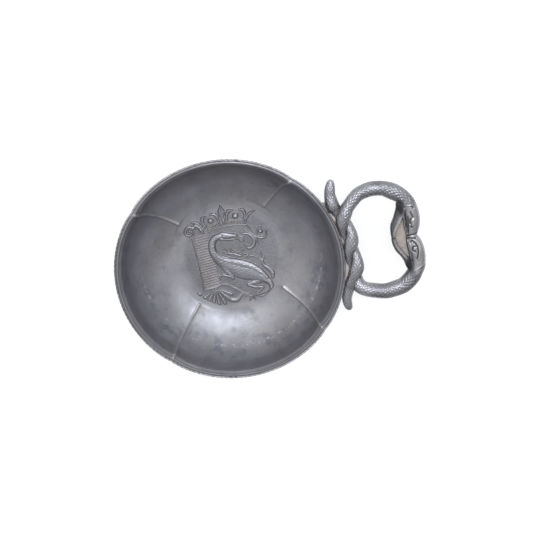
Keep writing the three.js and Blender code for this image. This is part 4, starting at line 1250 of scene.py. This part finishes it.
def relief_material():
    look = start_material("relief_pewter")
    plain_roughness = worn_pewter(look)
    plain = look.color
    clouded(look, 0.29, 0.15)
    look.tint(tone(0.1), look.ramp(look.attribute("hollow"), 0.25, 0.8, 0.0, 0.4))
    radius, _, _, z = from_axis(look)
    ragged = look.math("ADD", radius, look.patches(120.0, 3.0, 0.2, 0.8, -MM, MM))
    edge = look.ramp(ragged, 19 * MM, 22.5 * MM)
    look.tint(plain, edge)
    # the highest parts, the salamander's spine, are painted lighter: worn bright, and a painted highlight
    high = look.ramp(z, (FLOOR_THICKNESS + 0.95) * MM, (FLOOR_THICKNESS + 1.2) * MM)
    look.tint(tone(0.4), high, 0.6)
    crumbs = look.patches(500.0, 4.0, 0.3, 0.6, 0.1, 1.0)
    beside = look.ramp(look.attribute("beside"), 0.1, 0.6, 0.0, 0.7)
    look.tint(beige(0.36), beside, crumbs)
    look.tint(beige(0.42), look.ramp(look.attribute("foot_line"), 0.35, 0.9, 0.0, 0.75), crumbs)
    worn_roughness = look.blend(high, 0.32, 0.24)
    roughness = look.add("ShaderNodeMix", {"Factor": edge, "A": worn_roughness, "B": plain_roughness})
    metal = look.ramp(beside, 0.0, 0.85, 0.9, 0.5)
    return look.finish(metal, roughness.outputs["Result"], look.noise(1300.0, 4.0, 0.65), 0.07)


def snake_material():
    look = start_material("snake_pewter")
    cloud = clouded(look, 0.27, 0.22, 140.0)
    _, x, _, _ = from_axis(look)
    # painted light: the twist is made lighter than the loops
    look.tint(tone(0.5), look.ramp(x, (KNOT_X + 3) * MM, (KNOT_X + 7) * MM, 0.35, 0.0))
    # each engraved line has a painted highlight along its bottom and painted shade along both sides
    groove = look.attribute("groove")
    kept = look.patches(260.0, 3.0, 0.35, 0.6, 0.25, 1.0)
    look.tint(tone(0.1), look.ramp(groove, 0.08, 0.4), look.ramp(groove, 0.5, 0.8, 1.0, 0.0), kept, 0.7)
    look.tint(tone(0.42), look.ramp(groove, 0.55, 0.9), kept, 0.65)
    # the skulls are partly polished; painted highlights lie along the brows, the jaw bevels and the skulls
    look.tint(tone(0.56, 1.0, 0.98, 0.99), look.attribute("polish"))
    # dark oxide in the cut lines, and painted shade in the throats, on the outer halves of the jaws and on
    # faces towards -X
    look.tint(tone(0.025), look.attribute("patina"), 0.93)
    # the crevices are darkened: dark oxide, and painted shade where the parts shade each other
    crevice = look.crevice(1.6, 0.3, 0.7)
    look.tint(tone(0.1), crevice, 0.7)
    look.tint(beige(0.36), crevice, look.patches(500.0, 4.0, 0.45, 0.65))
    look.tint(beige(0.38), crevice, look.ramp(x, (KNOT_X - 1.5) * MM, KNOT_X * MM, 1.0, 0.0), 0.8)
    # painted shade: the snakes are darkened where their surface turns away from the view
    edge = look.add("ShaderNodeLayerWeight", {"Blend": 0.35}).outputs["Facing"]
    look.tint(tone(0.1), look.ramp(edge, 0.45, 0.95, 0.0, 0.6))
    height = look.noise(1200.0, 4.0, 0.6)
    return look.finish(look.blend(crevice, 0.95, 0.6), look.blend(cloud, 0.32, 0.2), height, 0.08)


def saddle_material():
    look = start_material("saddle_pewter")
    cloud = clouded(look, 0.3, 0.2, 180.0)
    _, _, _, z = from_axis(look)
    filled = look.math("MAXIMUM", look.crevice(2.5, 0.4, 0.95), look.ramp(z, 20.5 * MM, 22.0 * MM))
    look.tint(beige(0.5), filled, look.patches(450.0, 5.0, 0.25, 0.55, 0.3, 1.0))
    height = look.noise(900.0, 5.0, 0.6)
    return look.finish(look.blend(filled, 0.85, 0.1), look.blend(cloud, 0.5, 0.42), height, 0.12)


def crusted(name, level, metal):
    """Dry beige deposit over rough metal."""
    look = start_material(name)
    cloud = look.patches(420.0, 5.0, 0.3, 0.7)
    look.color = look.mix(cloud, beige(level * 0.8), beige(level * 1.1))
    look.tint(tone(level * 0.5), look.patches(1500.0, 3.0, 0.62, 0.72, 0.0, 0.5))
    # painted shade in the crevices
    look.tint(tone(level * 0.25), look.crevice(1.2, 0.3, 0.7), 0.8)
    return look.finish(metal, look.blend(cloud, 0.6, 0.75), look.noise(1300.0, 5.0, 0.65), 0.15)


def dress(piece, node, material):
    piece.data.materials.clear()
    piece.data.materials.append(material)
    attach(piece, "root")
    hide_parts(node)


# Studio

def make_floor():
    """Paper that glows wherever it is seen, straight on or in a reflection."""
    size = FLOOR_HALF_SIZE
    corners = [(-size, -size, 0), (size, -size, 0), (size, size, 0), (-size, size, 0)]
    mesh = bpy.data.meshes.new("floor")
    mesh.from_pydata(corners, [], [(0, 1, 2, 3)])
    floor = link(bpy.data.objects.new("floor", mesh))
    look = start_material("floor_paper")
    rays = look.add("ShaderNodeLightPath").outputs
    seen = look.math("MAXIMUM", rays["Is Camera Ray"], rays["Is Glossy Ray"])
    seen = look.math("MAXIMUM", seen, rays["Is Transmission Ray"])
    paper = look.add("ShaderNodeBsdfDiffuse", {"Color": neutral(FLOOR_COLOR)})
    glow = look.add("ShaderNodeEmission", {"Color": neutral(1.0), "Strength": look.times(seen, FLOOR_GLOW)})
    look.show(look.add("ShaderNodeAddShader", {0: paper.outputs[0], 1: glow.outputs[0]}))
    mesh.materials.append(look.owner)
    floor.location.z = -FLOOR_DROP


def make_world():
    """A plain studio: a bright ceiling that falls off evenly to dim walls."""
    world = bpy.data.worlds.new("studio")
    bpy.context.scene.world = world
    look = Look(world, "ShaderNodeOutputWorld")
    direction = look.add("ShaderNodeTexCoord").outputs["Generated"]
    _, y, z = look.add("ShaderNodeSeparateXYZ", {0: direction}).outputs
    ramp = look.add("ShaderNodeValToRGB", {0: z})
    stops = ramp.color_ramp.elements
    stops[0].position = 0.0
    stops[1].position = 1.0
    for position, level in STUDIO_LEVELS:
        stops.new(position).color = neutral(level)
    stops[0].color = neutral(STUDIO_LEVELS[0][1])
    stops[len(stops) - 1].color = neutral(STUDIO_LEVELS[-1][1])
    lean = look.add("ShaderNodeMath", {0: y, 1: STUDIO_STRENGTH * STUDIO_LEAN, 2: STUDIO_STRENGTH},
                    operation="MULTIPLY_ADD")
    look.show(look.add("ShaderNodeBackground", {"Color": ramp.outputs[0], "Strength": lean.outputs[0]}))


def add_softbox(name, tilt, azimuth, half_angle, radiance, color):
    """A round lamp: its tilt from straight above, its azimuth from +X, and how large it looks, in degrees."""
    across, round_about = math.radians(tilt), math.radians(azimuth)
    away = Vector((
        math.sin(across) * math.cos(round_about),
        math.sin(across) * math.sin(round_about),
        math.cos(across),
    ))
    radius = LAMP_DISTANCE * math.tan(math.radians(half_angle))
    light = bpy.data.lights.new(name, "AREA")
    light.shape = "DISK"
    light.size = 2 * radius
    light.energy = radiance * math.pi * math.pi * radius ** 2
    light.color = color
    lamp = link(bpy.data.objects.new(name, light))
    lamp.location = away * LAMP_DISTANCE
    lamp.rotation_euler = away.to_track_quat("Z", "Y").to_euler()


def make_camera():
    """The camera that sees the taster as the photograph does."""
    back, up = Vector(CAMERA_BACK), Vector(CAMERA_UP)
    data = bpy.data.cameras.new("camera")
    data.sensor_width = SENSOR_WIDTH
    data.lens = CAMERA_LENS
    camera = link(bpy.data.objects.new("camera", data))
    axes = Matrix((up.cross(back), up, back)).transposed().to_4x4()
    target = Vector((*CAMERA_TARGET, BOWL_HEIGHT)) * MM
    camera.matrix_world = Matrix.Translation(target + back * CAMERA_DISTANCE * MM) @ axes
    bpy.context.scene.camera = camera


dress(make_bowl(), "bowl", bowl_material())
dress(make_rim_cord(), "rim_cord", cord_material())
dress(make_roundel(), "crest_roundel", relief_material())
dress(make_solder_bed(), "solder_bed", crusted("solder_crust", 0.34, 0.3))
dress(make_saddle(), "handle_saddle", saddle_material())
snake_look = snake_material()
dress(make_snake(UPPER), "upper_snake", snake_look)
dress(make_snake(LOWER), "lower_snake", snake_look)
dress(make_web(), "mouth_web", crusted("web_crust", 0.39, 0.15))

make_floor()
make_world()
make_camera()
add_softbox("wide_lamp", 31, 58, 24, 1.2, (0.97, 0.985, 1.06))
add_softbox("near_lamp", 22, 69, 6, 9.5, (0.94, 0.98, 1.1))

bpy.context.scene.view_settings.view_transform = "Standard"
